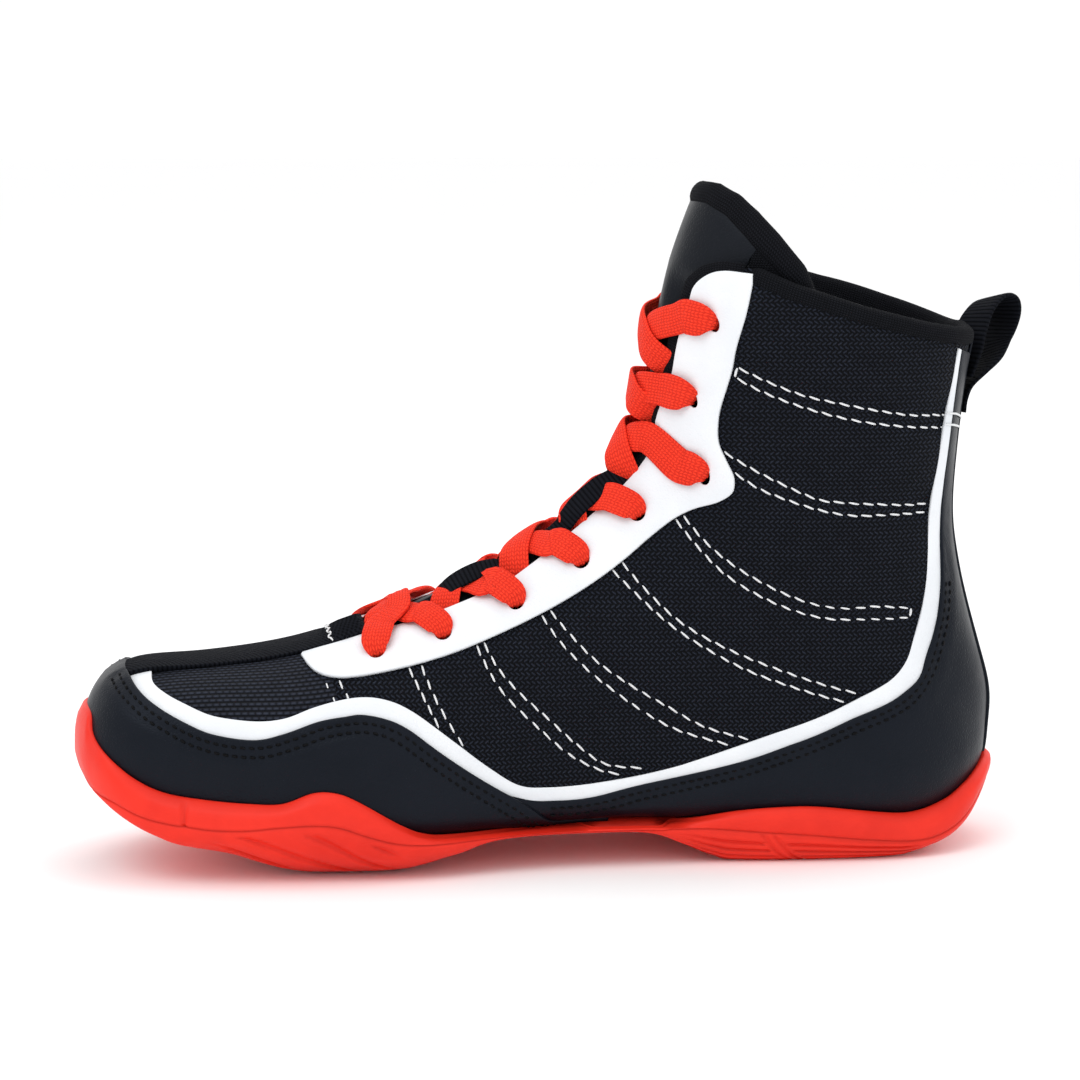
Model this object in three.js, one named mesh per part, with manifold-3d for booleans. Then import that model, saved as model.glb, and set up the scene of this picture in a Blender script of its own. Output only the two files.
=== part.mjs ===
// A high-top boxing boot for the right foot, size EU 42, in millimetres with +Z up.
// The toe points along -X and the inner (medial) side faces -Y. All sheet pieces are layers of one
// foot-shaped surface, the last: each layer lies between two depths measured outward from it.
import * as THREE from 'three';
import { mergeVertices } from 'three/addons/utils/BufferGeometryUtils.js';
import Module from 'manifold-3d';

const wasm = await Module();
wasm.setup();

// ---- driving dimensions -------------------------------------------------------------------------
const GAP = 0.3;                       // air left between neighbouring pieces
const ORIGIN = [140.1, -1.6, 0];       // moves the last's own origin to the middle of the footprint
const MESH = [-1.2, 0];                // depth ranges of the layers, inner and outer face
const PADDING = [-2.4, -1.5];
const LINING = [-3.6, -2.7];
const OVERLAY = [0.3, 1.7];
const STRIPE = [0.3, 1.1];
const EYESTAY = [0.3, 1.5];
const TAPE = [0.3, 1.2];
const BINDING = [(u, t) => (Math.abs(t) < 0.27 ? -1.2 : -3.6), 0.5];
const BACK_STRIP = [2.0, 3.0];
const SOLE_CAVITY = 2.0;               // the outsole's inside stands this far off the last
const SOLE_HEIGHT = 62;
const BOARD_THICKNESS = 1.8;
const SOCKLINER_THICKNESS = 3.4;
const TOE_SEAM = 6.3;                  // section where the toe box meets the quarters
const FLAP_SEAM = 18.35;               // section where the tongue's free flap starts
const EYELET_RADIUS = 3.4;
const LACE_WIDTH = 8.4;
const LACE_NECK = 5.0;                 // width of the lace where it is gathered in an eyelet
const LACE_THICKNESS = 1.6;
const LACE_ABOVE = 3.7;                // depth of the lace's middle over and under the facings
const LACE_BELOW = -3.8;
const CROSS_OVER = 0.5;                // and where two runs cross in the throat
const CROSS_UNDER = -1.4;
const TAIL_REACH = 0.55;               // share of the half girth that a tucked lace end reaches
const AGLET_LENGTH = 22;
const TAB_WIDTH = 14;
const WEBBING = 1.6;

// Cross-sections of the last, from the toe tip to the top of the shaft. In side view each runs from a
// front point to a back point; across, it is a superellipse. Columns: front x, z; back x, z; y of the
// inner side, outer side and ridge; share of the depth where it is widest; front and back exponents.
const SECTIONS = [
  [-281.5, 27, -281.5, 27, -7, -7, -7, 0.50, 2.2, 2.4],
  [-285, 36, -276, 20, -22, 9, -7, 0.50, 2.2, 2.4],
  [-284, 46, -267, 17, -29, 17, -7, 0.52, 2.2, 2.6],
  [-278, 56, -256, 14, -34, 25, -6.5, 0.54, 2.3, 2.8],
  [-267, 61, -244, 12, -37, 31, -6, 0.57, 2.4, 3.2],
  [-247, 63, -227, 10.5, -40, 38, -5, 0.61, 2.4, 3.6],
  [-222, 66.5, -206, 9.5, -41.5, 44, -4, 0.66, 2.2, 4.0],
  [-197, 74, -184, 10.5, -40.5, 46, -3, 0.70, 2.1, 4.4],
  [-174, 83, -160, 13, -36.5, 45, -2.5, 0.75, 2.0, 5.2],
  [-153, 94, -132, 15, -33, 42, -2, 0.80, 1.95, 6.0],
  [-134, 107, -98, 15, -32.5, 38.5, -1.5, 0.80, 1.9, 6.0],
  [-120, 121, -58, 13.5, -32, 35.5, -1, 0.72, 1.9, 4.6],
  [-113, 133, -24, 17, -31.5, 33.5, 0, 0.60, 1.95, 3.0],
  [-110.5, 144, -6, 36, -32, 32.5, 0, 0.52, 2.0, 2.3],
  [-109, 154, -4, 60, -31.5, 32, 0, 0.50, 2.05, 2.2],
  [-108, 163, -8.5, 87, -31.5, 32, 0, 0.50, 2.1, 2.15],
  [-106.5, 172, -11, 112, -33, 33.5, 0, 0.50, 2.15, 2.15],
  [-104.5, 180, -10, 136, -35, 35.5, 0, 0.50, 2.15, 2.15],
  [-102, 188, -7, 156, -37.5, 38, 0, 0.50, 2.15, 2.15],
  [-98, 199, -4, 172, -38.5, 39, 0, 0.50, 2.15, 2.15],
  [-92, 214, -1, 190, -39, 39.5, 0, 0.50, 2.15, 2.15],
];
const TOP_SECTION = SECTIONS.length - 1;

// Eyelets of one side, lowest first: section, and share of the half girth from the ridge.
const EYELETS = [
  [6.95, 0.19], [7.81, 0.195], [8.81, 0.182], [9.81, 0.158],
  [10.84, 0.135], [12.44, 0.193], [13.81, 0.142], [16.2, 0.2],
];

// Side-view outlines, x and z. Stripe and overlays share their edges.
const TOE_OVERLAY_TOP = [[-271, 57], [-267, 55], [-259, 49.5], [-246, 45.5], [-234, 44], [-222, 46],
  [-208, 49.5], [-198, 49.5], [-188, 45], [-176, 36], [-166, 29]];
const TOE_OVERLAY_TAIL = [[-158, 23], [-146, 18], [-132, 15], [-120, 12]];
const STRIPE_TOP = [[-264, 61], [-262, 57.5], [-254, 53], [-242, 50], [-228, 49], [-214, 53], [-200, 55],
  [-187, 51], [-172, 40], [-161, 29.5], [-146, 26], [-132, 26.5], [-113, 29.5], [-85, 37], [-60, 46.5],
  [-39, 57], [-32, 67], [-27, 92], [-24, 120], [-20, 142], [-16, 166]];
const HEEL_OVERLAY_TOP = [[-166, 29], [-156, 23.5], [-132, 21], [-113, 25], [-85, 33], [-60, 41],
  [-37, 51], [-29, 60], [-22, 92], [-20, 120], [-17, 142], [-14, 166]];
const COLLAR = [[-110, 199], [-98, 193], [-86, 186], [-73, 179.5], [-54, 174], [-39, 171], [-24, 168],
  [-10, 165], [10, 162]];
const SOLE_LIP = [[-300, 58], [-286, 57], [-283, 46], [-276, 36], [-264, 30], [-250, 26], [-236, 24],
  [-224, 24], [-214, 27], [-207, 26], [-197, 20], [-187, 14.5], [-174, 12.5], [-150, 13.5], [-125, 14],
  [-106, 14.5], [-94, 17], [-78, 18.5], [-60, 17.5], [-44, 16], [-31, 16.5], [-20, 22], [-11, 31],
  [-5, 39], [6, 46]];
const SOLE_GROUND = [[6, 40], [-1, 26], [-7, 15], [-18, 6], [-30, 1.5], [-40, 0], [-82, 0], [-92, 2.5],
  [-103, 8], [-114, 11], [-135, 11.5], [-154, 10.5], [-166, 7], [-176, 2.5], [-186, 0], [-214, 0],
  [-232, 3.5], [-250, 10.5], [-265, 18.5], [-279, 29], [-286, 41], [-300, 48]];
// Plan outline of the outsole, x and y, clockwise from the toe.
const SOLE_PLAN = [[-289, -7], [-287, -18], [-279, -32], [-264, -41], [-240, -46.5], [-212, -48],
  [-184, -45], [-156, -38], [-125, -35], [-92, -35.5], [-62, -37], [-34, -35.5], [-14, -28], [-2.5, -13],
  [0, 0], [-2.5, 13], [-14, 28], [-36, 36.5], [-66, 39.5], [-100, 41.5], [-140, 46], [-175, 50],
  [-206, 51], [-236, 45], [-262, 32], [-279, 16], [-287, 3]];
// Pull tab in side view: the free loop, and the strap that is sewn to the heel.
const TAB_LOOP = [[-4.4, 148.5], [-1.6, 155], [-1.9, 163], [-0.8, 168.5], [3.6, 170.8], [7.6, 168.6],
  [7.4, 162], [3.6, 154.5], [-0.6, 148.8]];
const TAB_STRAP = [[-3.9, 146.8], [-4.6, 141], [-5.2, 132]];

// ---- the last -----------------------------------------------------------------------------------
const OUTLINE_STEPS = 96;
const SPAN_U = 0.12;                   // half spans of the differences that give the surface normal
const SPAN_T = 0.02;

function naturalSpline(rows) {
  const count = rows.length;
  const second = rows.map((row) => row.map(() => 0));
  for (let column = 0; column < rows[0].length; column += 1) {
    const weight = new Array(count).fill(0);
    const value = new Array(count).fill(0);
    for (let i = 1; i < count - 1; i += 1) {
      const bend = 6 * (rows[i + 1][column] - 2 * rows[i][column] + rows[i - 1][column]);
      const pivot = 4 - weight[i - 1];
      weight[i] = 1 / pivot;
      value[i] = (bend - value[i - 1]) / pivot;
    }
    for (let i = count - 2; i > 0; i -= 1) {
      second[i][column] = value[i] - weight[i] * second[i + 1][column];
    }
  }
  return second;
}

const BENDS = naturalSpline(SECTIONS);

function sectionAt(u) {
  const place = Math.min(Math.max(u, 0), TOP_SECTION);
  const i = Math.min(Math.floor(place), TOP_SECTION - 1);
  const t = place - i;
  const low = ((1 - t) ** 3 - (1 - t)) / 6;
  const high = (t ** 3 - t) / 6;
  return SECTIONS[i].map((value, column) => value * (1 - t) + SECTIONS[i + 1][column] * t
    + BENDS[i][column] * low + BENDS[i + 1][column] * high);
}

const outlines = new Map();

// Half of a section, from the ridge to the back point, with the distance run so far at each point.
function halfOutline(u, side) {
  const key = `${u.toFixed(5)} ${side}`;
  if (outlines.has(key)) return outlines.get(key);
  const [fx, fz, bx, bz, inner, outer, ridge, widest, frontPower, backPower] = sectionAt(u);
  const reach = (side < 0 ? inner : outer) - ridge;
  const points = [];
  const run = [0];
  for (let i = 0; i <= OUTLINE_STEPS; i += 1) {
    const angle = (Math.PI * i) / OUTLINE_STEPS;
    const front = angle <= Math.PI / 2;
    const power = 2 / (front ? frontPower : backPower);
    const across = Math.abs(Math.sin(angle)) ** power;
    const along = Math.abs(Math.cos(angle)) ** power;
    const share = front ? widest * (1 - along) : widest + (1 - widest) * along;
    points.push(new THREE.Vector3(fx + share * (bx - fx), ridge + reach * across, fz + share * (bz - fz)));
    if (i > 0) run.push(run[i - 1] + points[i].distanceTo(points[i - 1]));
  }
  const outline = { points, run };
  outlines.set(key, outline);
  return outline;
}

function girth(u, side) {
  return halfOutline(u, side).run[OUTLINE_STEPS];
}

// t is the share of the half girth from the ridge, negative on the inner side; past 1 it goes on round.
function lastPoint(u, t) {
  const around = t > 1 ? t - 2 : t < -1 ? t + 2 : t;
  const { points, run } = halfOutline(u, around < 0 ? -1 : 1);
  const target = Math.abs(around) * run[OUTLINE_STEPS];
  let k = 0;
  while (k < OUTLINE_STEPS - 1 && run[k + 1] < target) k += 1;
  const share = (target - run[k]) / Math.max(run[k + 1] - run[k], 1e-9);
  return points[k].clone().lerp(points[k + 1], share);
}

function lastNormal(u, t) {
  const low = Math.max(u - SPAN_U, 0.02);
  const high = Math.min(u + SPAN_U, TOP_SECTION);
  const along = lastPoint(high, t).sub(lastPoint(low, t));
  const around = lastPoint(u, t + SPAN_T).sub(lastPoint(u, t - SPAN_T));
  return along.cross(around).normalize();
}

function onLast(u, t, depth) {
  return lastPoint(u, t).addScaledVector(lastNormal(u, t), depth);
}

// ---- solids -------------------------------------------------------------------------------------
function toSolid(geometry) {
  const bare = geometry.clone();
  bare.deleteAttribute('normal');
  bare.deleteAttribute('uv');
  const merged = mergeVertices(bare, 1e-5);
  return new wasm.Manifold(new wasm.Mesh({
    numProp: 3,
    vertProperties: new Float32Array(merged.attributes.position.array),
    triVerts: new Uint32Array(merged.index.array),
  }));
}

function toGeometry(solid) {
  const { vertProperties, triVerts } = solid.getMesh();
  const geometry = new THREE.BufferGeometry();
  geometry.setAttribute('position', new THREE.BufferAttribute(vertProperties, 3));
  geometry.setIndex(new THREE.BufferAttribute(triVerts, 1));
  geometry.computeVertexNormals();
  return geometry;
}

function fromTriangles(vertices, triangles) {
  const geometry = new THREE.BufferGeometry();
  const flat = vertices.flatMap((vertex) => [vertex.x, vertex.y, vertex.z]);
  geometry.setAttribute('position', new THREE.Float32BufferAttribute(flat, 3));
  geometry.setIndex(triangles);
  return toSolid(geometry);
}

function quad(triangles, a, b, c, d) {
  triangles.push(a, b, c, a, c, d);
}

// Closed slab between two matching grids of points; `ring` joins each row's last column to its first.
function slab(outer, inner, ring) {
  const rows = outer.length;
  const columns = outer[0].length;
  const vertices = [...outer.flat(), ...inner.flat()];
  const top = (i, j) => i * columns + (j % columns);
  const low = (i, j) => rows * columns + top(i, j);
  const triangles = [];
  const lastColumn = ring ? columns : columns - 1;
  for (let j = 0; j < lastColumn; j += 1) {
    for (let i = 0; i < rows - 1; i += 1) {
      quad(triangles, top(i, j), top(i + 1, j), top(i + 1, j + 1), top(i, j + 1));
      quad(triangles, low(i, j), low(i, j + 1), low(i + 1, j + 1), low(i + 1, j));
    }
    const end = rows - 1;
    quad(triangles, top(0, j), top(0, j + 1), low(0, j + 1), low(0, j));
    quad(triangles, top(end, j), low(end, j), low(end, j + 1), top(end, j + 1));
  }
  for (let i = 0; !ring && i < rows - 1; i += 1) {
    const end = columns - 1;
    quad(triangles, top(i, 0), low(i, 0), low(i + 1, 0), top(i + 1, 0));
    quad(triangles, top(i, end), top(i + 1, end), low(i + 1, end), low(i, end));
  }
  return fromTriangles(vertices, triangles);
}

function steps(from, to, count) {
  return Array.from({ length: count + 1 }, (_, i) => from + ((to - from) * i) / count);
}

const ROWS = steps(0.5, TOP_SECTION, 16);
const COLUMNS = steps(-1, 1, 22).slice(0, -1);

function depthOf(depth, u, t) {
  return typeof depth === 'function' ? depth(u, t) : depth;
}

// A layer all the way round the last. Layers share one grid, so their facets stay parallel.
function layer([inner, outer]) {
  const face = (depth) => ROWS.map((u) => COLUMNS.map((t) => onLast(u, t, depthOf(depth, u, t))));
  return slab(face(outer), face(inner), true);
}

// The whole last, grown or shrunk by a depth and closed at both ends.
function blob(depth) {
  const rows = [0.3, ...ROWS];
  const vertices = rows.flatMap((u) => COLUMNS.map((t) => onLast(u, t, depth)));
  const columns = COLUMNS.length;
  const triangles = [];
  const middle = (row) => {
    const centre = new THREE.Vector3();
    for (let j = 0; j < columns; j += 1) centre.add(vertices[row * columns + j]);
    return centre.divideScalar(columns);
  };
  const toe = vertices.length;
  const end = rows.length - 1;
  vertices.push(middle(0), middle(end));
  for (let j = 0; j < columns; j += 1) {
    const next = (j + 1) % columns;
    for (let i = 0; i < end; i += 1) {
      const at = i * columns;
      quad(triangles, at + j, at + columns + j, at + columns + next, at + next);
    }
    triangles.push(toe, j, next);
    triangles.push(toe + 1, end * columns + next, end * columns + j);
  }
  return fromTriangles(vertices, triangles);
}

// Cutting tool: the space over a patch of the last, between t = low(u) and t = high(u).
function region(from, to, low, high, depths = [-6.5, 6]) {
  const rows = [from, ...ROWS.filter((u) => u > from + 0.1 && u < to - 0.1), to];
  const width = Math.max(...rows.map((u) => depthOf(high, u) - depthOf(low, u)));
  const columns = steps(0, 1, Math.max(2, Math.ceil(width * 8)));
  const face = (depth) => rows.map((u) => columns.map((share) => {
    const t = depthOf(low, u) * (1 - share) + depthOf(high, u) * share;
    return onLast(u, t, depth);
  }));
  return slab(face(depths[1]), face(depths[0]), false);
}

function shapeOf(points) {
  return new THREE.Shape(points.map(([x, y]) => new THREE.Vector2(x, y)));
}

function smooth(points, perSpan) {
  const curve = new THREE.SplineCurve(points.map(([x, y]) => new THREE.Vector2(x, y)));
  return curve.getPoints((points.length - 1) * perSpan).map((point) => [point.x, point.y]);
}

// Prism along Y over a side-view outline of x and z.
function sidePrism(points, from = -80, to = 80) {
  const geometry = new THREE.ExtrudeGeometry(shapeOf(points), { depth: to - from, bevelEnabled: false });
  geometry.rotateX(Math.PI / 2);
  geometry.translate(0, to, 0);
  return toSolid(geometry);
}

function shifted(points, dx, dz) {
  return points.map(([x, z]) => [x + dx, z + dz]);
}

// The flat space between two sections, as a wedge in side view.
function between(from, to) {
  const edge = (u) => {
    const [fx, fz, bx, bz] = sectionAt(u);
    const reach = 12 / Math.hypot(bx - fx, bz - fz);
    const [dx, dz] = [(bx - fx) * reach, (bz - fz) * reach];
    return [[fx - dx, fz - dz], [bx + dx, bz + dz]];
  };
  const [frontA, backA] = edge(from);
  const [frontB, backB] = edge(to);
  return sidePrism([frontA, backA, backB, frontB]);
}

function blend(from, to, value) {
  const share = Math.min(Math.max((value - from) / (to - from), 0), 1);
  return share * share * (3 - 2 * share);
}

// Straight-line interpolation through pairs of section and share.
function profile(pairs) {
  return (u) => {
    let i = 0;
    while (i < pairs.length - 2 && u > pairs[i + 1][0]) i += 1;
    const [u0, v0] = pairs[i];
    const [u1, v1] = pairs[i + 1];
    return v0 + (v1 - v0) * Math.min(Math.max((u - u0) / (u1 - u0), 0), 1);
  };
}

// ---- edges of the facings -----------------------------------------------------------------------
const eyestayInner = profile([[6.1, 0.1], [7.4, 0.117], [8.8, 0.117], [9.7, 0.085], [10.8, 0.072],
  [12.3, 0.062], [13.7, 0.088], [14.8, 0.105], [16.3, 0.135], [17.2, 0.165], [18, 0.24]]);
const eyestayOuter = profile([[6.1, 0.15], [6.25, 0.215], [6.6, 0.255], [7.4, 0.265], [8.2, 0.262],
  [9, 0.246], [9.8, 0.221], [10.7, 0.195], [11.4, 0.198], [12, 0.223], [12.5, 0.255], [12.8, 0.26],
  [13.1, 0.235], [13.6, 0.209], [14.2, 0.214], [15.2, 0.25], [16.8, 0.28], [18, 0.285]]);
const bindingWidth = profile([[12, 0], [13.5, 0.014], [15, 0.02], [17, 0.022], [18, 0.03]]);
const throat = (u) => eyestayInner(u) - bindingWidth(u);

function sided(side, from, to, low, high, depths) {
  const near = (u) => side * depthOf(low, u);
  const far = (u) => side * depthOf(high, u);
  return side < 0 ? region(from, to, far, near, depths) : region(from, to, near, far, depths);
}

const BELOW_COLLAR = [[-330, -20], [40, -20], [40, 162]];

function belowCollar(drop) {
  return sidePrism([...BELOW_COLLAR, ...shifted([...COLLAR].reverse(), 0, -drop), [-330, 240]]);
}

// Everything behind the throat's edge and below the collar's edge, less a margin for the binding.
function upperArea(margin, drop) {
  const edge = (u) => throat(u) + margin(u);
  const around = region(TOE_SEAM + 0.05, 19.2, edge, (u) => 2 - edge(u));
  return around.intersect(belowCollar(drop));
}

const EYELET_TOOLS = EYELETS.flatMap(([u, t]) => [-1, 1].map((side) => {
  const bore = new THREE.CylinderGeometry(EYELET_RADIUS, EYELET_RADIUS, 14, 7);
  const out = lastNormal(u, side * t);
  const turn = new THREE.Quaternion().setFromUnitVectors(new THREE.Vector3(0, 1, 0), out);
  bore.applyQuaternion(turn);
  bore.translate(...onLast(u, side * t, -1).toArray());
  return toSolid(bore);
}));

function punched(solid) {
  return EYELET_TOOLS.reduce((rest, tool) => rest.subtract(tool), solid);
}

// ---- nodes --------------------------------------------------------------------------------------
const boot = new THREE.Group();
boot.position.set(...ORIGIN);

const LOOKS = {
  rubber: [0xee3220, 0.55], eva: [0x2c2d31, 0.9], board: [0xb9a98a, 0.9], sockliner: [0x24262d, 0.95],
  mesh: [0x191b23, 0.95], leather: [0x20222a, 0.6], white: [0xf2f4f6, 0.6], knit: [0x14151b, 0.98],
  foam: [0x4a4c52, 0.98], lining: [0x23252d, 0.95], stiffener: [0xd9d4c6, 0.7], lace: [0xee3a26, 0.9],
  webbing: [0x16171c, 0.9], aglet: [0x9a1f14, 0.3],
};
const looks = Object.fromEntries(Object.entries(LOOKS).map(([name, [color, roughness]]) => [
  name, new THREE.MeshStandardMaterial({ name, color, roughness, metalness: 0 }),
]));

function place(name, look, solid) {
  const mesh = new THREE.Mesh(toGeometry(solid), looks[look]);
  mesh.name = name;
  boot.add(mesh);
}

// ---- sole ---------------------------------------------------------------------------------------
const soleSide = sidePrism([...SOLE_LIP, ...SOLE_GROUND]);
const planCurve = new THREE.CatmullRomCurve3(
  SOLE_PLAN.map(([x, y]) => new THREE.Vector3(x, y, 0)), true, 'centripetal');
const planPoints = planCurve.getPoints(SOLE_PLAN.length * 2).slice(0, -1).map(({ x, y }) => [x, y]);
const solePlan = toSolid(new THREE.ExtrudeGeometry(
  shapeOf(planPoints), { depth: SOLE_HEIGHT, bevelEnabled: false }));
place('outsole', 'rubber', solePlan.intersect(soleSide).subtract(blob(SOLE_CAVITY)));

// Side view of a strip that follows the last's lowest line, from one height above it to another.
function bottomStrip(low, high) {
  const line = steps(0.8, 13.4, 12).map((u) => sectionAt(u).slice(2, 4));
  const start = [-300, line[0][1]];
  const path = [start, ...line];
  return sidePrism([...shifted(path, 0, low), ...shifted(path, 0, high).reverse()]);
}

const boardTop = BOARD_THICKNESS + 1.5;
const underBoard = bottomStrip(-30, boardTop + GAP);
place('midsole', 'eva', layer(OVERLAY).intersect(region(1.4, 12.2, 0.86, 1.14)));
place('insole_board', 'board', blob(PADDING[1])
  .intersect(bottomStrip(-30, boardTop)).intersect(between(1.3, 12.5)));
place('sockliner', 'sockliner', blob(LINING[0] - GAP)
  .intersect(bottomStrip(boardTop + GAP, boardTop + GAP + SOCKLINER_THICKNESS))
  .intersect(between(1.6, 12.2)));

// ---- upper --------------------------------------------------------------------------------------
const meshLayer = layer(MESH);
const paddingLayer = layer(PADDING).subtract(underBoard);
const liningLayer = layer(LINING).subtract(underBoard);
const bindingMargin = (u) => bindingWidth(u) + 0.004;
const innerArea = upperArea(bindingMargin, 3.2);
const underFoot = profile([[TOE_SEAM, 0.88], [11.8, 0.9], [13.2, 0.9985], [TOP_SECTION, 0.9985]]);

place('toe_box', 'mesh', meshLayer.intersect(region(1, TOE_SEAM, -0.88, 0.88)));
place('toe_puff', 'stiffener', paddingLayer.intersect(region(1, 3.6, -0.8, 0.8)));
place('vamp_lining', 'lining', liningLayer.intersect(region(1.2, TOE_SEAM, -0.86, 0.86)));

function quarter(side) {
  const half = sided(side, TOE_SEAM + 0.03, 19.1, throat, underFoot);
  return punched(meshLayer.intersect(innerArea).intersect(half));
}

function quarterPadding(side) {
  const low = (u) => Math.max(eyestayOuter(u) + 0.02, 0.24);
  const high = profile([[10, 0.5], [14.7, 0.54], [15.1, 0.998]]);
  return paddingLayer.intersect(innerArea).intersect(sided(side, 8, 19.1, low, high));
}

for (const [side, name] of [[-1, 'medial'], [1, 'lateral']]) {
  place(`quarter_${name}`, 'mesh', quarter(side));
  place(`ankle_padding_${name}`, 'foam', quarterPadding(side));
}
const counterEdge = profile([[11.2, 0.66], [13.2, 0.6], [13.9, 0.62]]);
place('heel_counter', 'stiffener',
  paddingLayer.intersect(region(11.2, 13.9, counterEdge, (u) => 2 - counterEdge(u))));
const liningEdge = (u) => Math.max(eyestayOuter(u) + 0.012, 0.235);
place('quarter_lining', 'lining', liningLayer.intersect(belowCollar(3.2))
  .intersect(region(TOE_SEAM + 0.05, 19.2, liningEdge, (u) => 2 - liningEdge(u))));

const tapeHalf = 0.105;
const overTape = region(1, 8, -tapeHalf - 0.004, tapeHalf + 0.004);
const toeOutline = [[-310, 75], [-271.5, 75], ...TOE_OVERLAY_TOP, ...TOE_OVERLAY_TAIL,
  [-120, -10], [-310, -10]];
const overlayLayer = layer(OVERLAY);
const lasted = region(0.6, 13.2, -0.84, 0.84);
const toeBlock = sidePrism(toeOutline);
place('toe_overlay', 'leather', overlayLayer.intersect(toeBlock).intersect(lasted));

const heelOutline = [...HEEL_OVERLAY_TOP, [14, 166], [14, -10], [-180, -10], [-180, 29]];
const heelArea = sidePrism(shifted(heelOutline, 0, -0.15))
  .subtract(sidePrism(shifted(toeOutline, 0.35, 0.35)));
const heelWrap = region(7, 19.1, 0.3, 1.7).intersect(belowCollar(3.6));
const heelLasted = region(7, 19.1, -0.84, 0.84).add(between(12.4, 19.1));
place('heel_overlay', 'leather',
  overlayLayer.intersect(heelArea).intersect(heelWrap).intersect(heelLasted));
place('heel_strip', 'leather', layer(BACK_STRIP)
  .intersect(region(13.45, 18.3, 0.945, 1.055)).intersect(belowCollar(3.6)));

const stripeOutline = [...STRIPE_TOP, ...shifted(HEEL_OVERLAY_TOP, 0, 0.15).reverse(),
  ...shifted(TOE_OVERLAY_TOP, 0.25, 0.25).reverse()];
const stripeLayer = layer(STRIPE).intersect(sidePrism(stripeOutline)).intersect(belowCollar(3.6))
  .subtract(overTape);
for (const [side, name] of [[-1, 'medial'], [1, 'lateral']]) {
  place(`stripe_${name}`, 'white', stripeLayer.intersect(sided(side, 3, 19.1, 0.05, 0.97)));
  const facing = sided(side, 6.15, 18, (u) => eyestayInner(u) + 0.003, eyestayOuter);
  place(`eyestay_${name}`, 'white', punched(layer(EYESTAY).intersect(facing)).subtract(overTape));
}
place('toe_tape', 'webbing',
  layer(TAPE).intersect(region(3.72, 6.62, -tapeHalf, tapeHalf)).subtract(toeBlock));

const bindingOuter = upperArea(() => 0, 0);
const bindingInner = upperArea(bindingWidth, 2.8);
place('collar_binding', 'knit',
  layer(BINDING).intersect(bindingOuter).intersect(between(12.4, 19.2)).subtract(bindingInner));

// ---- tongue -------------------------------------------------------------------------------------
// Depth of the tongue's outer face: under the laces it lies low; above them it comes up to the ridge.
function tongueFace(u, t) {
  const side = blend(0, 0.07, Math.abs(t));
  const low = -4.9 - 2 * side;
  const high = -0.2 - 4.4 * blend(0.02, 0.22, Math.abs(t));
  return low + (high - low) * blend(16.6, 17.8, u);
}

const flapTop = profile([[0, 19.6], [0.09, 19.62], [0.25, 19.3], [0.35, 18.9], [0.4, 18.6]]);

function tonguePart(from, to, half, inner, outer) {
  const rows = steps(from, to, Math.max(3, Math.ceil(to - from)));
  const columns = steps(-half, half, 10);
  const face = (depth) => rows.map((u) => columns.map((t) => onLast(u, t, tongueFace(u, t) + depth)));
  return slab(face(outer), face(inner), false);
}

function flapPart(from, half, low, inner, outer) {
  const columns = steps(-half, half, 10);
  const rows = steps(0, 1, 3);
  const face = (depth) => rows.map((share) => columns.map((t) => {
    const u = from + (flapTop(Math.abs(t)) - low - from) * share;
    return onLast(u, t, tongueFace(u, t) + depth);
  }));
  return slab(face(outer), face(inner), false);
}

place('tongue_face', 'leather', tonguePart(6.8, 18.2, 0.26, -0.8, 0));
place('tongue_foam', 'foam', tonguePart(6.8, 18.2, 0.28, -3.4, -1.1));
place('tongue_lining', 'lining', tonguePart(6.8, 18.2, 0.28, -4.5, -3.7));
place('flap_cover', 'leather', flapPart(FLAP_SEAM, 0.26, 0.45, -0.8, 0));
place('flap_foam', 'foam', flapPart(FLAP_SEAM, 0.38, 0.45, -3.4, -1.1));
place('flap_lining', 'lining', flapPart(FLAP_SEAM, 0.38, 0.45, -4.5, -3.7));

function flapRoll() {
  const columns = steps(-0.38, 0.38, 16);
  const face = (depth) => [-0.41, -0.2, 0].map((drop) => columns.map((t) => {
    const u = flapTop(Math.abs(t)) + drop;
    return onLast(u, t, tongueFace(u, t) + depth);
  }));
  return slab(face(0.4), face(-4.9), false);
}
place('flap_roll', 'knit', flapRoll());

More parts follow.
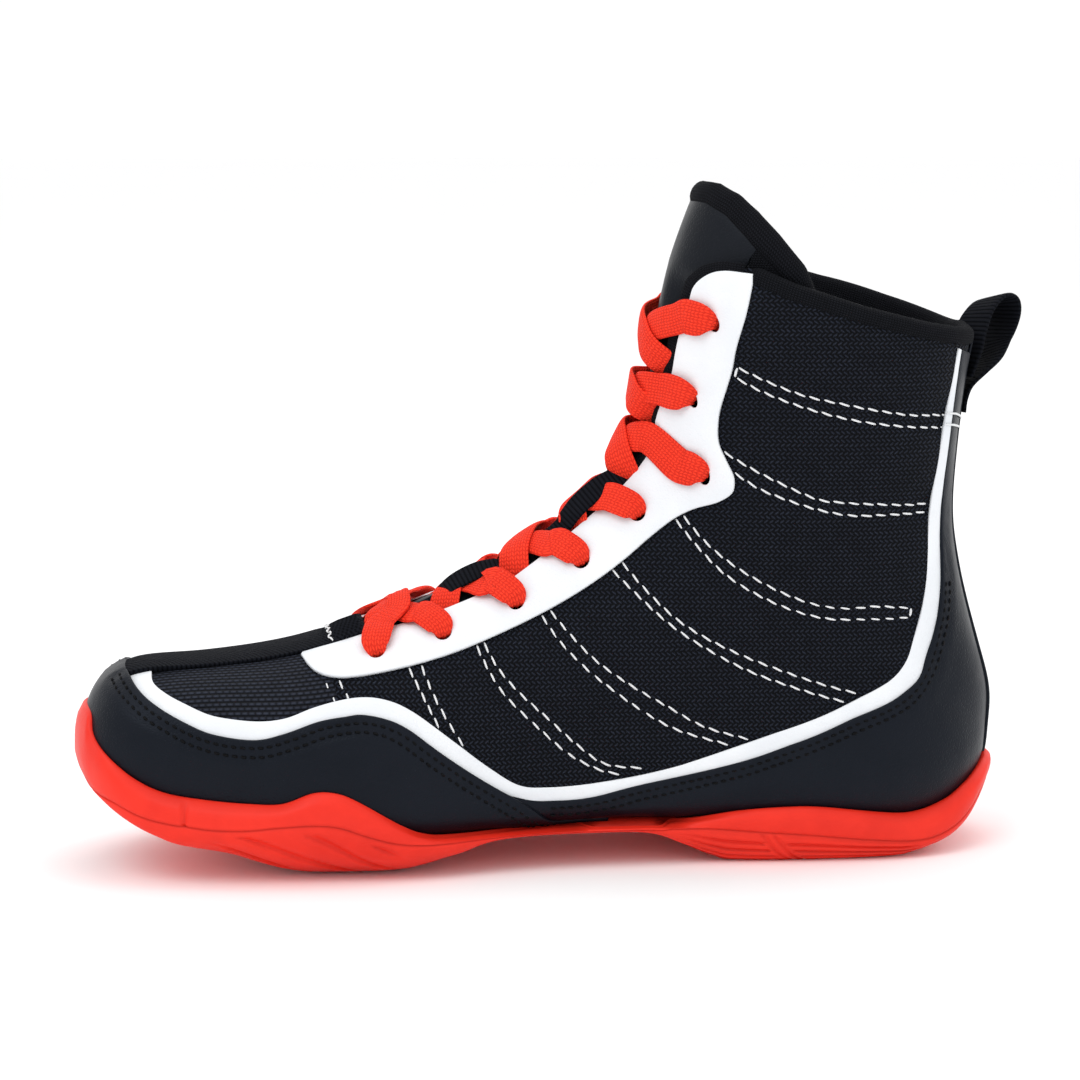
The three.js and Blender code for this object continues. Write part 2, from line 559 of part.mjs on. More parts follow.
// ---- lacing -------------------------------------------------------------------------------------
// A flat band through stops of [u, t, depth, width]. It lies flat on the last, and turns in an eyelet.
function band(stops, thickness) {
  const centres = stops.map(([u, t, depth]) => onLast(u, t, depth));
  const frames = centres.map((centre, i) => {
    const before = centres[Math.max(i - 1, 0)];
    const after = centres[Math.min(i + 1, centres.length - 1)];
    const tangent = after.clone().sub(before).normalize();
    const normal = lastNormal(stops[i][0], stops[i][1]);
    return { centre, tangent, normal, across: normal.clone().cross(tangent) };
  });
  let previous = frames[0].across.clone().normalize();
  for (const frame of frames) {
    if (frame.across.length() < 0.55) frame.across.copy(previous);
    else if (frame.across.dot(previous) < 0) frame.across.negate();
    frame.across.addScaledVector(frame.tangent, -frame.across.dot(frame.tangent)).normalize();
    previous = frame.across;
  }
  const corners = frames.map(({ centre, tangent, across }, i) => {
    const up = tangent.clone().cross(across).normalize();
    const half = stops[i][3] / 2;
    return [[half, 1], [-half, 1], [-half, -1], [half, -1]].map(([side, rise]) => centre.clone()
      .addScaledVector(across, side).addScaledVector(up, (rise * thickness) / 2));
  });
  const triangles = [];
  const at = (i, j) => i * 4 + (j % 4);
  for (let i = 0; i < corners.length - 1; i += 1) {
    for (let j = 0; j < 4; j += 1) quad(triangles, at(i, j), at(i, j + 1), at(i + 1, j + 1), at(i + 1, j));
  }
  const end = corners.length - 1;
  quad(triangles, at(0, 3), at(0, 2), at(0, 1), at(0, 0));
  quad(triangles, at(end, 0), at(end, 1), at(end, 2), at(end, 3));
  const solid = fromTriangles(corners.flat(), triangles);
  return solid.volume() < 0 ? fromTriangles(corners.flat(), triangles.reverse()) : solid;
}

// Stops through one eyelet, from above to below; `leave` is -1 towards the throat and 1 away from it.
function throughEyelet([u, t], side, leave) {
  const along = (mm) => side * (t + mm / girth(u, side));
  const dive = [[-4.5, LACE_ABOVE, 7.4], [-2.2, LACE_ABOVE, 5.6], [-0.7, 1.9, LACE_NECK],
    [0, 0.4, LACE_NECK]];
  const exit = [[0.1, -1.9, LACE_NECK], [1, -3.3, LACE_NECK], [2.6, LACE_BELOW, 5.8],
    [4.8, LACE_BELOW, 7.4]];
  return [...dive.map(([mm, depth, width]) => [u, along(mm), depth, width]),
    ...exit.map(([mm, depth, width]) => [u, along(leave * mm), depth, width])];
}

// The run from under one facing, up through the throat, over the other facing to its next eyelet.
function crossing(from, to, side) {
  const start = side * (from[1] - 4.8 / girth(from[0], side));
  const end = -side * (to[1] - 4.5 / girth(to[0], -side));
  const level = side < 0 ? CROSS_OVER : CROSS_UNDER;
  const inner = side * throat(from[0] * 0.7 + to[0] * 0.3);
  const outer = -side * throat(from[0] * 0.3 + to[0] * 0.7);
  const places = [[(start + inner) / 2, LACE_BELOW], [inner * 0.9, LACE_BELOW], [inner * 0.45, level],
    [0, level], [outer * 0.5, level], [outer * 0.86, LACE_ABOVE], [(outer + end) / 2, LACE_ABOVE]];
  return places.map(([t, depth]) => [
    from[0] + ((to[0] - from[0]) * (t - start)) / (end - start), t, depth, LACE_WIDTH]);
}

function tuckedEnd([u], side) {
  const places = [[0.29, -5.2], [0.36, -6], [0.45, -7], [TAIL_REACH, -9]];
  return places.map(([share, depth], i) => [u - 0.25 * i, side * share, depth, 7]);
}

function climb(firstSide) {
  const stops = [];
  EYELETS.forEach((eyelet, i) => {
    const side = i % 2 === 0 ? firstSide : -firstSide;
    const top = i === EYELETS.length - 1;
    stops.push(...throughEyelet(eyelet, side, top ? 1 : -1));
    if (!top) stops.push(...crossing(eyelet, EYELETS[i + 1], side));
    else stops.push(...tuckedEnd(eyelet, side));
  });
  return stops;
}

const bar = [-0.1, -0.05, 0, 0.05, 0.1].map((t) => [EYELETS[0][0], t, LACE_ABOVE, LACE_WIDTH]);
const laceStops = [...climb(-1).reverse(), ...bar, ...climb(1)];
place('lace', 'lace', band(laceStops, LACE_THICKNESS));

function aglet(end, before) {
  const tip = onLast(...end.slice(0, 3));
  const way = tip.clone().sub(onLast(...before.slice(0, 3))).normalize();
  const tube = new THREE.CylinderGeometry(1.5, 1.5, AGLET_LENGTH, 10);
  tube.applyQuaternion(new THREE.Quaternion().setFromUnitVectors(new THREE.Vector3(0, 1, 0), way));
  tube.translate(...tip.addScaledVector(way, AGLET_LENGTH / 2 + GAP).toArray());
  return toSolid(tube);
}
place('aglet_medial', 'aglet', aglet(laceStops.at(-1), laceStops.at(-2)));
place('aglet_lateral', 'aglet', aglet(laceStops[0], laceStops[1]));

// The keeper tape lies on the tongue and comes up over two of the lace crossings.
const KEEPER_LOW = -4.2;
const KEEPER_HIGH = 2.2;
const keeperStops = [[6.9, 0, KEEPER_LOW, 7.4]];
for (const i of [1, 3]) {
  const middle = (EYELETS[i][0] + EYELETS[i + 1][0]) / 2;
  const pitch = lastPoint(middle + 0.5, 0).distanceTo(lastPoint(middle - 0.5, 0));
  for (const [mm, depth] of [[-9.7, KEEPER_LOW], [-7.4, KEEPER_HIGH], [0, KEEPER_HIGH], [7.4, KEEPER_HIGH],
    [9.7, KEEPER_LOW]]) keeperStops.push([middle + mm / pitch, 0, depth, 7.4]);
}
place('lace_keeper', 'webbing', band(keeperStops, 0.8));

// ---- pull tab -----------------------------------------------------------------------------------
function webbingStrip(points) {
  const path = smooth(points, 2);
  const side = path.map(([x, z], i) => {
    const [x0, z0] = path[Math.max(i - 1, 0)];
    const [x1, z1] = path[Math.min(i + 1, path.length - 1)];
    const length = Math.hypot(x1 - x0, z1 - z0);
    return [(-(z1 - z0) / length) * (WEBBING / 2), ((x1 - x0) / length) * (WEBBING / 2)];
  });
  const near = path.map(([x, z], i) => [x + side[i][0], z + side[i][1]]);
  const far = path.map(([x, z], i) => [x - side[i][0], z - side[i][1]]);
  return sidePrism([...near, ...far.reverse()], -TAB_WIDTH / 2, TAB_WIDTH / 2);
}
place('pull_tab', 'webbing', webbingStrip(TAB_LOOP));
place('pull_tab_strap', 'webbing', webbingStrip(TAB_STRAP));

export default boot;
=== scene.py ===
"""Right boxing boot, EU 42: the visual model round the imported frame. Lengths are in millimetres in the
last's own frame until a mesh is made, which moves them to the row frame in metres."""
import math
import bpy
import numpy as np
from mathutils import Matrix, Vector
from mathutils.bvhtree import BVHTree
from mathutils.geometry import delaunay_2d_cdt


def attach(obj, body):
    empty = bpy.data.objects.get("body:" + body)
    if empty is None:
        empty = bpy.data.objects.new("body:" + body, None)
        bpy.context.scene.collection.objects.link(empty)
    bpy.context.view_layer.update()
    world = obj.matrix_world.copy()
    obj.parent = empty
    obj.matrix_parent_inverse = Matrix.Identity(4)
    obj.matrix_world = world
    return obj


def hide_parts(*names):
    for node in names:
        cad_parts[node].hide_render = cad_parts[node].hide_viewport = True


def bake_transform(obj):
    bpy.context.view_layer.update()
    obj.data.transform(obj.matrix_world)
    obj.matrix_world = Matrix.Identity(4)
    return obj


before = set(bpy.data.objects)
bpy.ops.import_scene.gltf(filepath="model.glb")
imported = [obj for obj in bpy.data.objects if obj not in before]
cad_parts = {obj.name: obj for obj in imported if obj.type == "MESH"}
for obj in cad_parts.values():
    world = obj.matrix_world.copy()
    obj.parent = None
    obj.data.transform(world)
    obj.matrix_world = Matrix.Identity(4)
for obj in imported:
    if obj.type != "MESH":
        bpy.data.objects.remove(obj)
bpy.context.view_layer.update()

ORIGIN = np.array([140.1, -1.6, 0.0])
MM = 0.001
BOOT, FLAP, TAB = "boot", "tongue_flap", "tab"
SIDES = ((-1, "medial"), (1, "lateral"))


def metres(point):
    """From the last's frame in millimetres to the row frame in metres."""
    return (np.asarray(point, float) + ORIGIN) * MM


# ---- camera --------------------------------------------------------------------------------------
EYE = (-262.6, -933.7, 232.2)
AIM = (-148.0, 0.0, 100.0)
camera = bpy.data.objects.new("camera", bpy.data.cameras.new("camera"))
bpy.context.scene.collection.objects.link(camera)
bpy.context.scene.camera = camera
camera.location = metres(EYE)
camera.rotation_euler = Vector(metres(AIM) - metres(EYE)).to_track_quat("-Z", "Y").to_euler()
camera.data.sensor_width = 36
camera.data.lens = 101.5
camera.data.shift_x = 0.0123
camera.data.shift_y = -0.0086
camera.data.clip_start, camera.data.clip_end = 0.05, 50

# ---- the last ------------------------------------------------------------------------------------
# Cross-sections: front x, z; back x, z; y of the inner side, outer side and ridge; share of the depth
# where it is widest; front and back exponents.
SECTIONS = np.array([
    [-281.5, 27, -281.5, 27, -7, -7, -7, 0.50, 2.2, 2.4],
    [-285, 36, -276, 20, -22, 9, -7, 0.50, 2.2, 2.4],
    [-284, 46, -267, 17, -29, 17, -7, 0.52, 2.2, 2.6],
    [-278, 56, -256, 14, -34, 25, -6.5, 0.54, 2.3, 2.8],
    [-267, 61, -244, 12, -37, 31, -6, 0.57, 2.4, 3.2],
    [-247, 63, -227, 10.5, -40, 38, -5, 0.61, 2.4, 3.6],
    [-222, 66.5, -206, 9.5, -41.5, 44, -4, 0.66, 2.2, 4.0],
    [-197, 74, -184, 10.5, -40.5, 46, -3, 0.70, 2.1, 4.4],
    [-174, 83, -160, 13, -36.5, 45, -2.5, 0.75, 2.0, 5.2],
    [-153, 94, -132, 15, -33, 42, -2, 0.80, 1.95, 6.0],
    [-134, 107, -98, 15, -32.5, 38.5, -1.5, 0.80, 1.9, 6.0],
    [-120, 121, -58, 13.5, -32, 35.5, -1, 0.72, 1.9, 4.6],
    [-113, 133, -24, 17, -31.5, 33.5, 0, 0.60, 1.95, 3.0],
    [-110.5, 144, -6, 36, -32, 32.5, 0, 0.52, 2.0, 2.3],
    [-109, 154, -4, 60, -31.5, 32, 0, 0.50, 2.05, 2.2],
    [-108, 163, -8.5, 87, -31.5, 32, 0, 0.50, 2.1, 2.15],
    [-106.5, 172, -11, 112, -33, 33.5, 0, 0.50, 2.15, 2.15],
    [-104.5, 180, -10, 136, -35, 35.5, 0, 0.50, 2.15, 2.15],
    [-102, 188, -7, 156, -37.5, 38, 0, 0.50, 2.15, 2.15],
    [-98, 199, -4, 172, -38.5, 39, 0, 0.50, 2.15, 2.15],
    [-92, 214, -1, 190, -39, 39.5, 0, 0.50, 2.15, 2.15],
])
TOP = len(SECTIONS) - 1
U_STEP, T_STEP = 0.05, 0.005
ANGLES = np.linspace(0, math.pi, 193)


def unit(v):
    return v / np.maximum(np.linalg.norm(v, axis=-1, keepdims=True), 1e-9)


def arc(points):
    """Distance run along a path, at each of its points."""
    return np.concatenate([[0], np.cumsum(np.linalg.norm(np.diff(points, axis=0), axis=1))])


def soften(values, rounds):
    for _ in range(rounds):
        values[1:-1] = (values[:-2] + 2 * values[1:-1] + values[2:]) / 4


def ease(low, high, x):
    """Smooth step from 0 at low to 1 at high."""
    share = np.clip((np.asarray(x, float) - low) / (high - low), 0, 1)
    return share * share * (3 - 2 * share)


def natural_spline(rows):
    """Second differences of a natural cubic spline through the rows."""
    count = len(rows)
    system = np.eye(count)
    bends = np.zeros_like(rows)
    for i in range(1, count - 1):
        system[i, i - 1:i + 2] = (1, 4, 1)
        bends[i] = 6 * (rows[i + 1] - 2 * rows[i] + rows[i - 1])
    return np.linalg.solve(system, bends)


BENDS = natural_spline(SECTIONS)


def section_at(u):
    i = min(int(u), TOP - 1)
    t = u - i
    low, high = ((1 - t) ** 3 - (1 - t)) / 6, (t ** 3 - t) / 6
    return SECTIONS[i] * (1 - t) + SECTIONS[i + 1] * t + BENDS[i] * low + BENDS[i + 1] * high


def half_outline(u, side):
    fx, fz, bx, bz, inner, outer, ridge, widest, front_power, back_power = section_at(u)
    front = ANGLES <= math.pi / 2
    power = 2 / np.where(front, front_power, back_power)
    across = np.abs(np.sin(ANGLES)) ** power
    along = np.abs(np.cos(ANGLES)) ** power
    share = np.where(front, widest * (1 - along), widest + (1 - widest) * along)
    reach = (inner if side < 0 else outer) - ridge
    points = np.stack([fx + share * (bx - fx), ridge + reach * across, fz + share * (bz - fz)], 1)
    return points, arc(points)


# How far the back of the heel stands behind the sections: full at the counter, hollow above it.
HEEL_SHAPE = [(11, 0), (11.6, 3), (12, 4.8), (12.5, 5.4), (13, 2.2), (13.5, 1.1), (14, -2.0), (14.5, -3.9),
              (15, -4.9), (15.5, -5.0), (16, -3.9), (16.5, -3.1), (17, -2.9), (17.5, -3.1), (18, -3.2), (20, -3.0)]
# How far the low heel is filled out towards the sole's edge, along the boot and round it.
HEEL_FILL = [(9, 0), (10, 1.0), (10.8, 3.4), (11.4, 7), (12, 9), (12.5, 5.8), (13, 1.1), (13.6, 0)]
FILL_ROUND = [(0.5, 0), (0.66, 0.25), (0.76, 0.72), (0.86, 1), (0.94, 0.65), (1.0, 0.05)]


def build_tables():
    """Places, normals and half girths on a grid of u, the section, and t, the share of the half girth
    from the ridge: negative on the inner side, and 1 at the sole's middle or the back seam."""
    us = np.arange(0, TOP + U_STEP / 2, U_STEP)
    ts = np.arange(-200, 200) * T_STEP
    shift, fill_u = (np.interp(us, *zip(*pairs)) for pairs in (HEEL_SHAPE, HEEL_FILL))
    fill_t = np.interp(np.abs(ts), *zip(*FILL_ROUND))
    for values, rounds in ((shift, 20), (fill_u, 20), (fill_t, 60)):
        soften(values, rounds)
    near_back = ease(0.74, 1.0, np.abs(ts))
    place = np.zeros((len(us), len(ts), 3))
    reach = np.zeros((len(us), len(ts), 1))
    for i, u in enumerate(us):
        for side, chosen in ((-1, ts < 0), (1, ts >= 0)):
            points, run = half_outline(u, side)
            target = np.abs(ts[chosen]) * run[-1]
            place[i, chosen] = np.stack([np.interp(target, run, points[:, k]) for k in range(3)], 1)
            reach[i, chosen] = run[-1]
    place[..., 0] += shift[:, None] * near_back[None]
    rows = np.arange(len(us))

    def normals():
        along = place[np.minimum(rows + 2, len(us) - 1)] - place[np.maximum(rows - 2, 0)]
        around = np.roll(place, -4, axis=1) - np.roll(place, 4, axis=1)
        return unit(np.cross(along, around))
    place += normals() * (fill_u[:, None] * fill_t[None])[..., None]
    return place, normals(), reach


PLACE, NORMAL, GIRTH = build_tables()


def catmull(x):
    return (x * (-0.5 + x * (1 - 0.5 * x)), 1 + x * x * (1.5 * x - 2.5),
            x * (0.5 + x * (2 - 1.5 * x)), x * x * (0.5 * x - 0.5))


def sample(table, u, t):
    """The table between its grid points; t wraps round."""
    fu = np.clip(np.asarray(u, float), 0, TOP) / U_STEP
    ft = (np.asarray(t, float) + 1) / T_STEP
    i = np.clip(np.floor(fu).astype(int), 0, len(table) - 2)
    j = np.floor(ft).astype(int)
    total = 0
    for m, wu in enumerate(catmull(fu - i)):
        row = np.clip(i + m - 1, 0, len(table) - 1)
        for n, wt in enumerate(catmull(ft - j)):
            total = total + (wu * wt)[..., None] * table[row, (j + n - 1) % table.shape[1]]
    return total


def normal_at(u, t):
    return unit(sample(NORMAL, *np.broadcast_arrays(np.asarray(u, float), np.asarray(t, float))))


def on_last(u, t, depth=0.0):
    """The place at (u, t), lifted along the normal."""
    u, t = np.broadcast_arrays(np.asarray(u, float), np.asarray(t, float))
    return sample(PLACE, u, t) + normal_at(u, t) * np.asarray(depth, float)[..., None]


def lay(ut, depth=0.0):
    return on_last(ut[:, 0], ut[:, 1], depth)


def girth(u, t):
    return sample(GIRTH, *np.broadcast_arrays(np.asarray(u, float), np.asarray(t, float)))[..., 0]


def pitch_at(u, t, step):
    """Millimetres for one section, measured over a step to both sides."""
    return np.linalg.norm(on_last(u + step, t) - on_last(u - step, t), axis=-1) / (2 * step)


def moved(ut, way, distance):
    """(u, t) points moved over the last by a distance along unit directions."""
    u, t = ut[:, 0], ut[:, 1]
    du = (on_last(u + 0.05, t) - on_last(u - 0.05, t)) / 0.1
    dt = (on_last(u, t + 0.01) - on_last(u, t - 0.01)) / 0.02
    uu, tt, ut_both = (du * du).sum(1), (dt * dt).sum(1), (du * dt).sum(1)
    pu, pt = (way * du).sum(1), (way * dt).sum(1)
    whole = np.maximum(uu * tt - ut_both * ut_both, 1e-6)
    return ut + distance * np.stack([(pu * tt - pt * ut_both) / whole, (pt * uu - pu * ut_both) / whole], 1)


# ---- curves --------------------------------------------------------------------------------------
def smooth(points, per=8, closed=False):
    """Dense Catmull-Rom curve through points."""
    p = np.asarray(points, float)
    if closed:
        p = np.concatenate([p[-1:], p, p[:2]])
    else:
        p = np.concatenate([2 * p[:1] - p[1:2], p, 2 * p[-1:] - p[-2:-1]])
    w = catmull(np.linspace(0, 1, per, endpoint=False))
    spans = [sum(w[k][:, None] * p[i + k] for k in range(4)) for i in range(len(p) - 3)]
    return np.concatenate(spans + ([] if closed else [p[-2:-1]]))


def spread(points, where, spacing):
    """The curve's points again, evenly spaced by the distance measured along where."""
    run = arc(where)
    at = np.linspace(0, run[-1], max(2, int(round(run[-1] / spacing)) + 1))
    return np.stack([np.interp(at, run, points[:, k]) for k in range(points.shape[1])], 1)


def lerp(pairs):
    xs, ys = zip(*pairs)
    return lambda u: np.interp(u, xs, ys)


def closed_loop(loop):
    return np.concatenate([loop, loop[:1]])


def mirrored(points, side):
    return np.asarray(points, float) * np.array([1, side])


def one_side(points, side, per=6):
    """A smooth run of (u, t), from points given for the positive side."""
    return smooth(mirrored(points, side), per)


# ---- meshes --------------------------------------------------------------------------------------
LOOKS = {}


def make(name, points, faces, look, body=BOOT, uv=None, nodes=(), slot=None):
    """A piece from points in millimetres. It rides on a body and stands in for CAD nodes, which it hides; the slot
    is not used.
    """
    mesh = bpy.data.meshes.new(name)
    mesh.from_pydata(metres(points).tolist(), [], faces)
    mesh.validate()
    mesh.materials.append(LOOKS[look])
    mesh.polygons.foreach_set("use_smooth", [True] * len(mesh.polygons))
    if uv is not None:
        corner = np.zeros(len(mesh.loops), int)
        mesh.loops.foreach_get("vertex_index", corner)
        layer = mesh.uv_layers.new(name="UVMap")
        layer.data.foreach_set("uv", (np.asarray(uv, float)[corner] / 10).ravel())
    piece = bpy.data.objects.new(name, mesh)
    bpy.context.scene.collection.objects.link(piece)
    if body:
        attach(piece, body)
    if nodes:
        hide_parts(*nodes)
    return piece


FLAT = np.array([12.0, 130.0])         # rough millimetres for one section and for half the girth


def to_plane(ut, polar):
    """(u, t) on a flat sheet; polar where a piece goes round the toe's end."""
    ut = np.asarray(ut, float)
    if not polar:
        return ut * FLAT
    angle = ut[:, 1] * math.pi
    return np.stack([np.cos(angle), np.sin(angle)], 1) * ut[:, :1] * FLAT[0]


def from_plane(p, polar):
    if not polar:
        return p / FLAT
    return np.stack([np.hypot(p[:, 0], p[:, 1]) / FLAT[0], np.arctan2(p[:, 1], p[:, 0]) / math.pi], 1)


def signed_area(p):
    q = np.roll(p, -1, axis=0)
    return 0.5 * np.sum(p[:, 0] * q[:, 1] - q[:, 0] * p[:, 1])


def inside(points, loop):
    result = np.zeros(len(points), bool)
    x, y = points[:, 0], points[:, 1]
    for (ax, ay), (bx, by) in zip(loop, np.roll(loop, -1, axis=0)):
        if ay != by:
            crossed = (ay > y) != (by > y)
            result ^= crossed & (x < (bx - ax) * (y - ay) / (by - ay) + ax)
    return result


def distance_to(points, targets, chunk=1500):
    """Distance from each point to the nearest target."""
    best = np.full(len(points), 1e9)
    for i in range(0, len(targets), chunk):
        part = targets[i:i + chunk]
        for j in range(0, len(points), chunk):
            gap = np.linalg.norm(points[j:j + chunk, None] - part[None], axis=2).min(1)
            best[j:j + chunk] = np.minimum(best[j:j + chunk], gap)
    return best


def inset(loop, distance):
    """A loop of (u, t) moved to its left by a distance on the last."""
    here = lay(loop)
    tangent = unit(np.roll(here, -1, axis=0) - np.roll(here, 1, axis=0))
    return moved(loop, np.cross(normal_at(loop[:, 0], loop[:, 1]), tangent), distance)


def loop_of(runs, spacing):
    """One closed loop from runs of (u, t) that share their end points. Corners stay sharp between runs."""
    return np.concatenate([spread(run, lay(run), spacing)[:-1] for run in map(np.asarray, runs)])


def fill(loops, lattice, holes=()):
    """Triangles over loops of plane points, the first of each set being a boundary."""
    points = [Vector(p) for loop in loops for p in loop] + [Vector(p) for p in lattice]
    edges, start = [], 0
    for loop in loops:
        n = len(loop)
        edges += [(start + k, start + (k + 1) % n) for k in range(n)]
        start += n
    found = delaunay_2d_cdt(points, edges, [], 0, 1e-6)
    flat = np.array([tuple(v) for v in found[0]])
    came_from = [ids[0] if ids else -1 for ids in found[3]]
    triangles = np.array([f for f in found[2] if len(f) == 3])
    centres = flat[triangles].mean(1)
    keep = inside(centres, loops[0])
    for hole in holes:
        keep &= ~inside(centres, hole)
    triangles = triangles[keep]
    a, b, c = (flat[triangles[:, k]] for k in range(3))
    turn = (b[:, 0] - a[:, 0]) * (c[:, 1] - a[:, 1]) - (b[:, 1] - a[:, 1]) * (c[:, 0] - a[:, 0])
    solid = np.abs(turn) > 1e-9
    triangles, turn = triangles[solid], turn[solid]
    triangles[turn < 0] = triangles[turn < 0][:, ::-1]
    return flat, came_from, triangles


def lattice_in(loop, spacing, holes=()):
    """Points of an even triangular lattice inside a loop, clear of its edge and its holes."""
    low, high = loop.min(0), loop.max(0)
    rows = []
    for k, y in enumerate(np.arange(low[1], high[1], spacing * 0.866)):
        x = np.arange(low[0] + (k % 2) * spacing / 2, high[0], spacing)
        rows.append(np.stack([x, np.full(len(x), y)], 1))
    grid = np.concatenate(rows)
    grid = grid[inside(grid, loop)]
    for edge in (loop, *holes):
        dense = spread(closed_loop(edge), closed_loop(edge), spacing * 0.4)
        grid = grid[distance_to(grid, dense) > spacing * 0.6]
    for hole in holes:
        grid = grid[~inside(grid, hole)]
    return grid


def depth_at(depth, ut):
    """A depth that is a number, or a function of (u, t)."""
    return depth(ut[:, 0], ut[:, 1]) if callable(depth) else np.full(len(ut), float(depth))


def fabric_uv(points, ut, kind):
    """Where the weave lies on a piece, in millimetres."""
    if kind == "side":
        return points[:, [0, 2]]
    around = ut[:, 1] * girth(ut[:, 0], ut[:, 1])
    if kind == "front":
        return np.stack([around, points[:, 2]], 1)
    return np.stack([points[:, 0] + (0.55 * around if kind == "slant" else 0), around], 1)


def panel(name, runs, inner, outer, look, holes=(), polar=False, grid=2.4, rim=0.45, relief=None,
          uv="side", spacing=1.5, **more):
    """A sheet piece on the last, cut to runs of (u, t), between two depths, with rounded edges."""
    loop = loop_of(runs, spacing)
    if signed_area(to_plane(loop, polar)) < 0:
        loop = loop[::-1]
    holes = [h if signed_area(to_plane(h, polar)) < 0 else h[::-1] for h in holes]
    rings, ring_drops, bounds = [], [], []
    for edge in (loop, *holes):
        bounds.append(sum(len(r) for r in rings))
        for distance, drop in ((0.0, rim), (0.3 * rim, 0.3 * rim), (rim, 0.0)):
            rings.append(inset(edge, distance) if distance else edge)
            ring_drops.append(np.full(len(edge), drop))
    planes = [to_plane(r, polar) for r in rings]
    lattice = lattice_in(planes[2], grid, [planes[3 * k + 5] for k in range(len(holes))])
    flat, came_from, triangles = fill(planes, lattice, [to_plane(h, polar) for h in holes])
    drop_of = np.concatenate(ring_drops + [np.zeros(len(lattice))])
    drop = np.array([drop_of[k] if k >= 0 else rim for k in came_from])
    ut = from_plane(flat, polar)
    if polar:
        ut[:, 0] = np.maximum(ut[:, 0], 0.02)
    base, normal = lay(ut), normal_at(ut[:, 0], ut[:, 1])
    top, low = depth_at(outer, ut), depth_at(inner, ut)
    if relief is not None:
        top = top + relief(base, ut) * (1 - drop / max(rim, 1e-6))
    points = np.concatenate([base + normal * (top - drop)[:, None], base + normal * low[:, None]])
    count = len(flat)
    faces = triangles.tolist() + (triangles[:, ::-1] + count).tolist()
    mine = {source: k for k, source in enumerate(came_from) if source >= 0}
    for start, edge in zip(bounds, (loop, *holes)):
        n = len(edge)
        ids = [mine.get(start + k) for k in range(n)]
        for a, b in zip(ids, ids[1:] + ids[:1]):
            if a is not None and b is not None and a != b:
                faces.append((b, a, a + count, b + count))
    used = sorted({k for face in faces for k in face})
    renumber = {k: i for i, k in enumerate(used)}
    faces = [tuple(renumber[k] for k in face) for face in faces]
    points = points[used]
    return make(name, points, faces, look, uv=fabric_uv(points, np.concatenate([ut, ut])[used], uv), **more)


class Bundle:
    """Many small closed forms gathered into one piece."""

    def __init__(self):
        self.points, self.faces, self.uv, self.count = [], [], [], 0

    def add(self, points, faces, uv):
        self.points.append(points)
        self.faces += [tuple(k + self.count for k in face) for face in faces]
        self.uv.append(uv)
        self.count += len(points)

    def make(self, name, look, **more):
        return make(name, np.concatenate(self.points), self.faces, look, uv=np.concatenate(self.uv), **more)


def tube_faces(rings, sides):
    """Faces of a capped tube whose rings follow each other."""
    faces = [(i * sides + j, i * sides + (j + 1) % sides, (i + 1) * sides + (j + 1) % sides,
              (i + 1) * sides + j) for i in range(rings - 1) for j in range(sides)]
    faces.append(tuple(reversed(range(sides))))
    faces.append(tuple((rings - 1) * sides + j for j in range(sides)))
    return faces


# A stitch: share of its length, and its width and height over the sheet as shares of its radius.
STITCH_SHAPE = np.array([[-0.5, 0.35, -0.9], [-0.42, 0.8, 0.0], [-0.2, 1, 0.5], [0, 1, 0.65],
                         [0.2, 1, 0.5], [0.42, 0.8, 0.0], [0.5, 0.35, -0.9]])
STITCH_SIDES = 6
SKEW = 0.11                            # sideways lean of a stitch, for its length


def stitch_row(bundle, row, depth, pitch, length, radius, side=1):
    """Separate stitches of thread along a row of (u, t), each dipping into the sheet at both ends."""
    dense = one_side(row, side, 8)
    even = spread(dense, lay(dense, depth_at(depth, dense)), 0.8)
    points, normals = lay(even, depth_at(depth, even)), normal_at(even[:, 0], even[:, 1])
    run = arc(points)
    count = max(1, int(round(run[-1] / pitch)))
    pitch = run[-1] / count
    faces = tube_faces(len(STITCH_SHAPE), STITCH_SIDES)
    angle = np.arange(STITCH_SIDES) * 2 * math.pi / STITCH_SIDES
    for k in range(count):
        at = (k + 0.5) * pitch + STITCH_SHAPE[:, 0] * length
        centre = np.stack([np.interp(at, run, points[:, c]) for c in range(3)], 1)
        up = unit(np.stack([np.interp(at, run, normals[:, c]) for c in range(3)], 1))
        tangent = unit(centre[-1:] - centre[:1])
        side = unit(np.cross(tangent, up))
        centre = centre + up * (STITCH_SHAPE[:, 2] * radius)[:, None] \
            + side * (STITCH_SHAPE[:, 0] * length * SKEW)[:, None]
        spokes = side[:, None] * np.cos(angle)[None, :, None] - up[:, None] * np.sin(angle)[None, :, None]
        ring = centre[:, None] + spokes * (STITCH_SHAPE[:, 1] * radius)[:, None, None]
        uv = np.stack([np.repeat(at, STITCH_SIDES), np.tile(angle / math.tau, len(at))], 1)
        bundle.add(ring.reshape(-1, 3), faces, uv)


def sweep(name, points, across, widths, thickness, look, profile, crown=None, **more):
    """A band with one cross-section swept along points; across is its width direction."""
    widths, thickness = (np.broadcast_to(size, len(points))[:, None, None] for size in (widths, thickness))
    tangent = unit(np.gradient(points, axis=0))
    across = unit(across - tangent * (across * tangent).sum(1)[:, None])
    up = np.cross(tangent, across)
    wide = profile[None, :, :1] * widths / 2
    rings = points[:, None] + across[:, None] * wide + up[:, None] * (profile[None, :, 1:] * thickness / 2)
    if crown is not None:
        rings = rings + up[:, None] * crown[..., None]
    uv = np.stack([np.repeat(arc(points), len(profile)), wide.ravel()], 1)
    return make(name, rings.reshape(-1, 3), tube_faces(*rings.shape[:2]), look, uv=uv, **more)


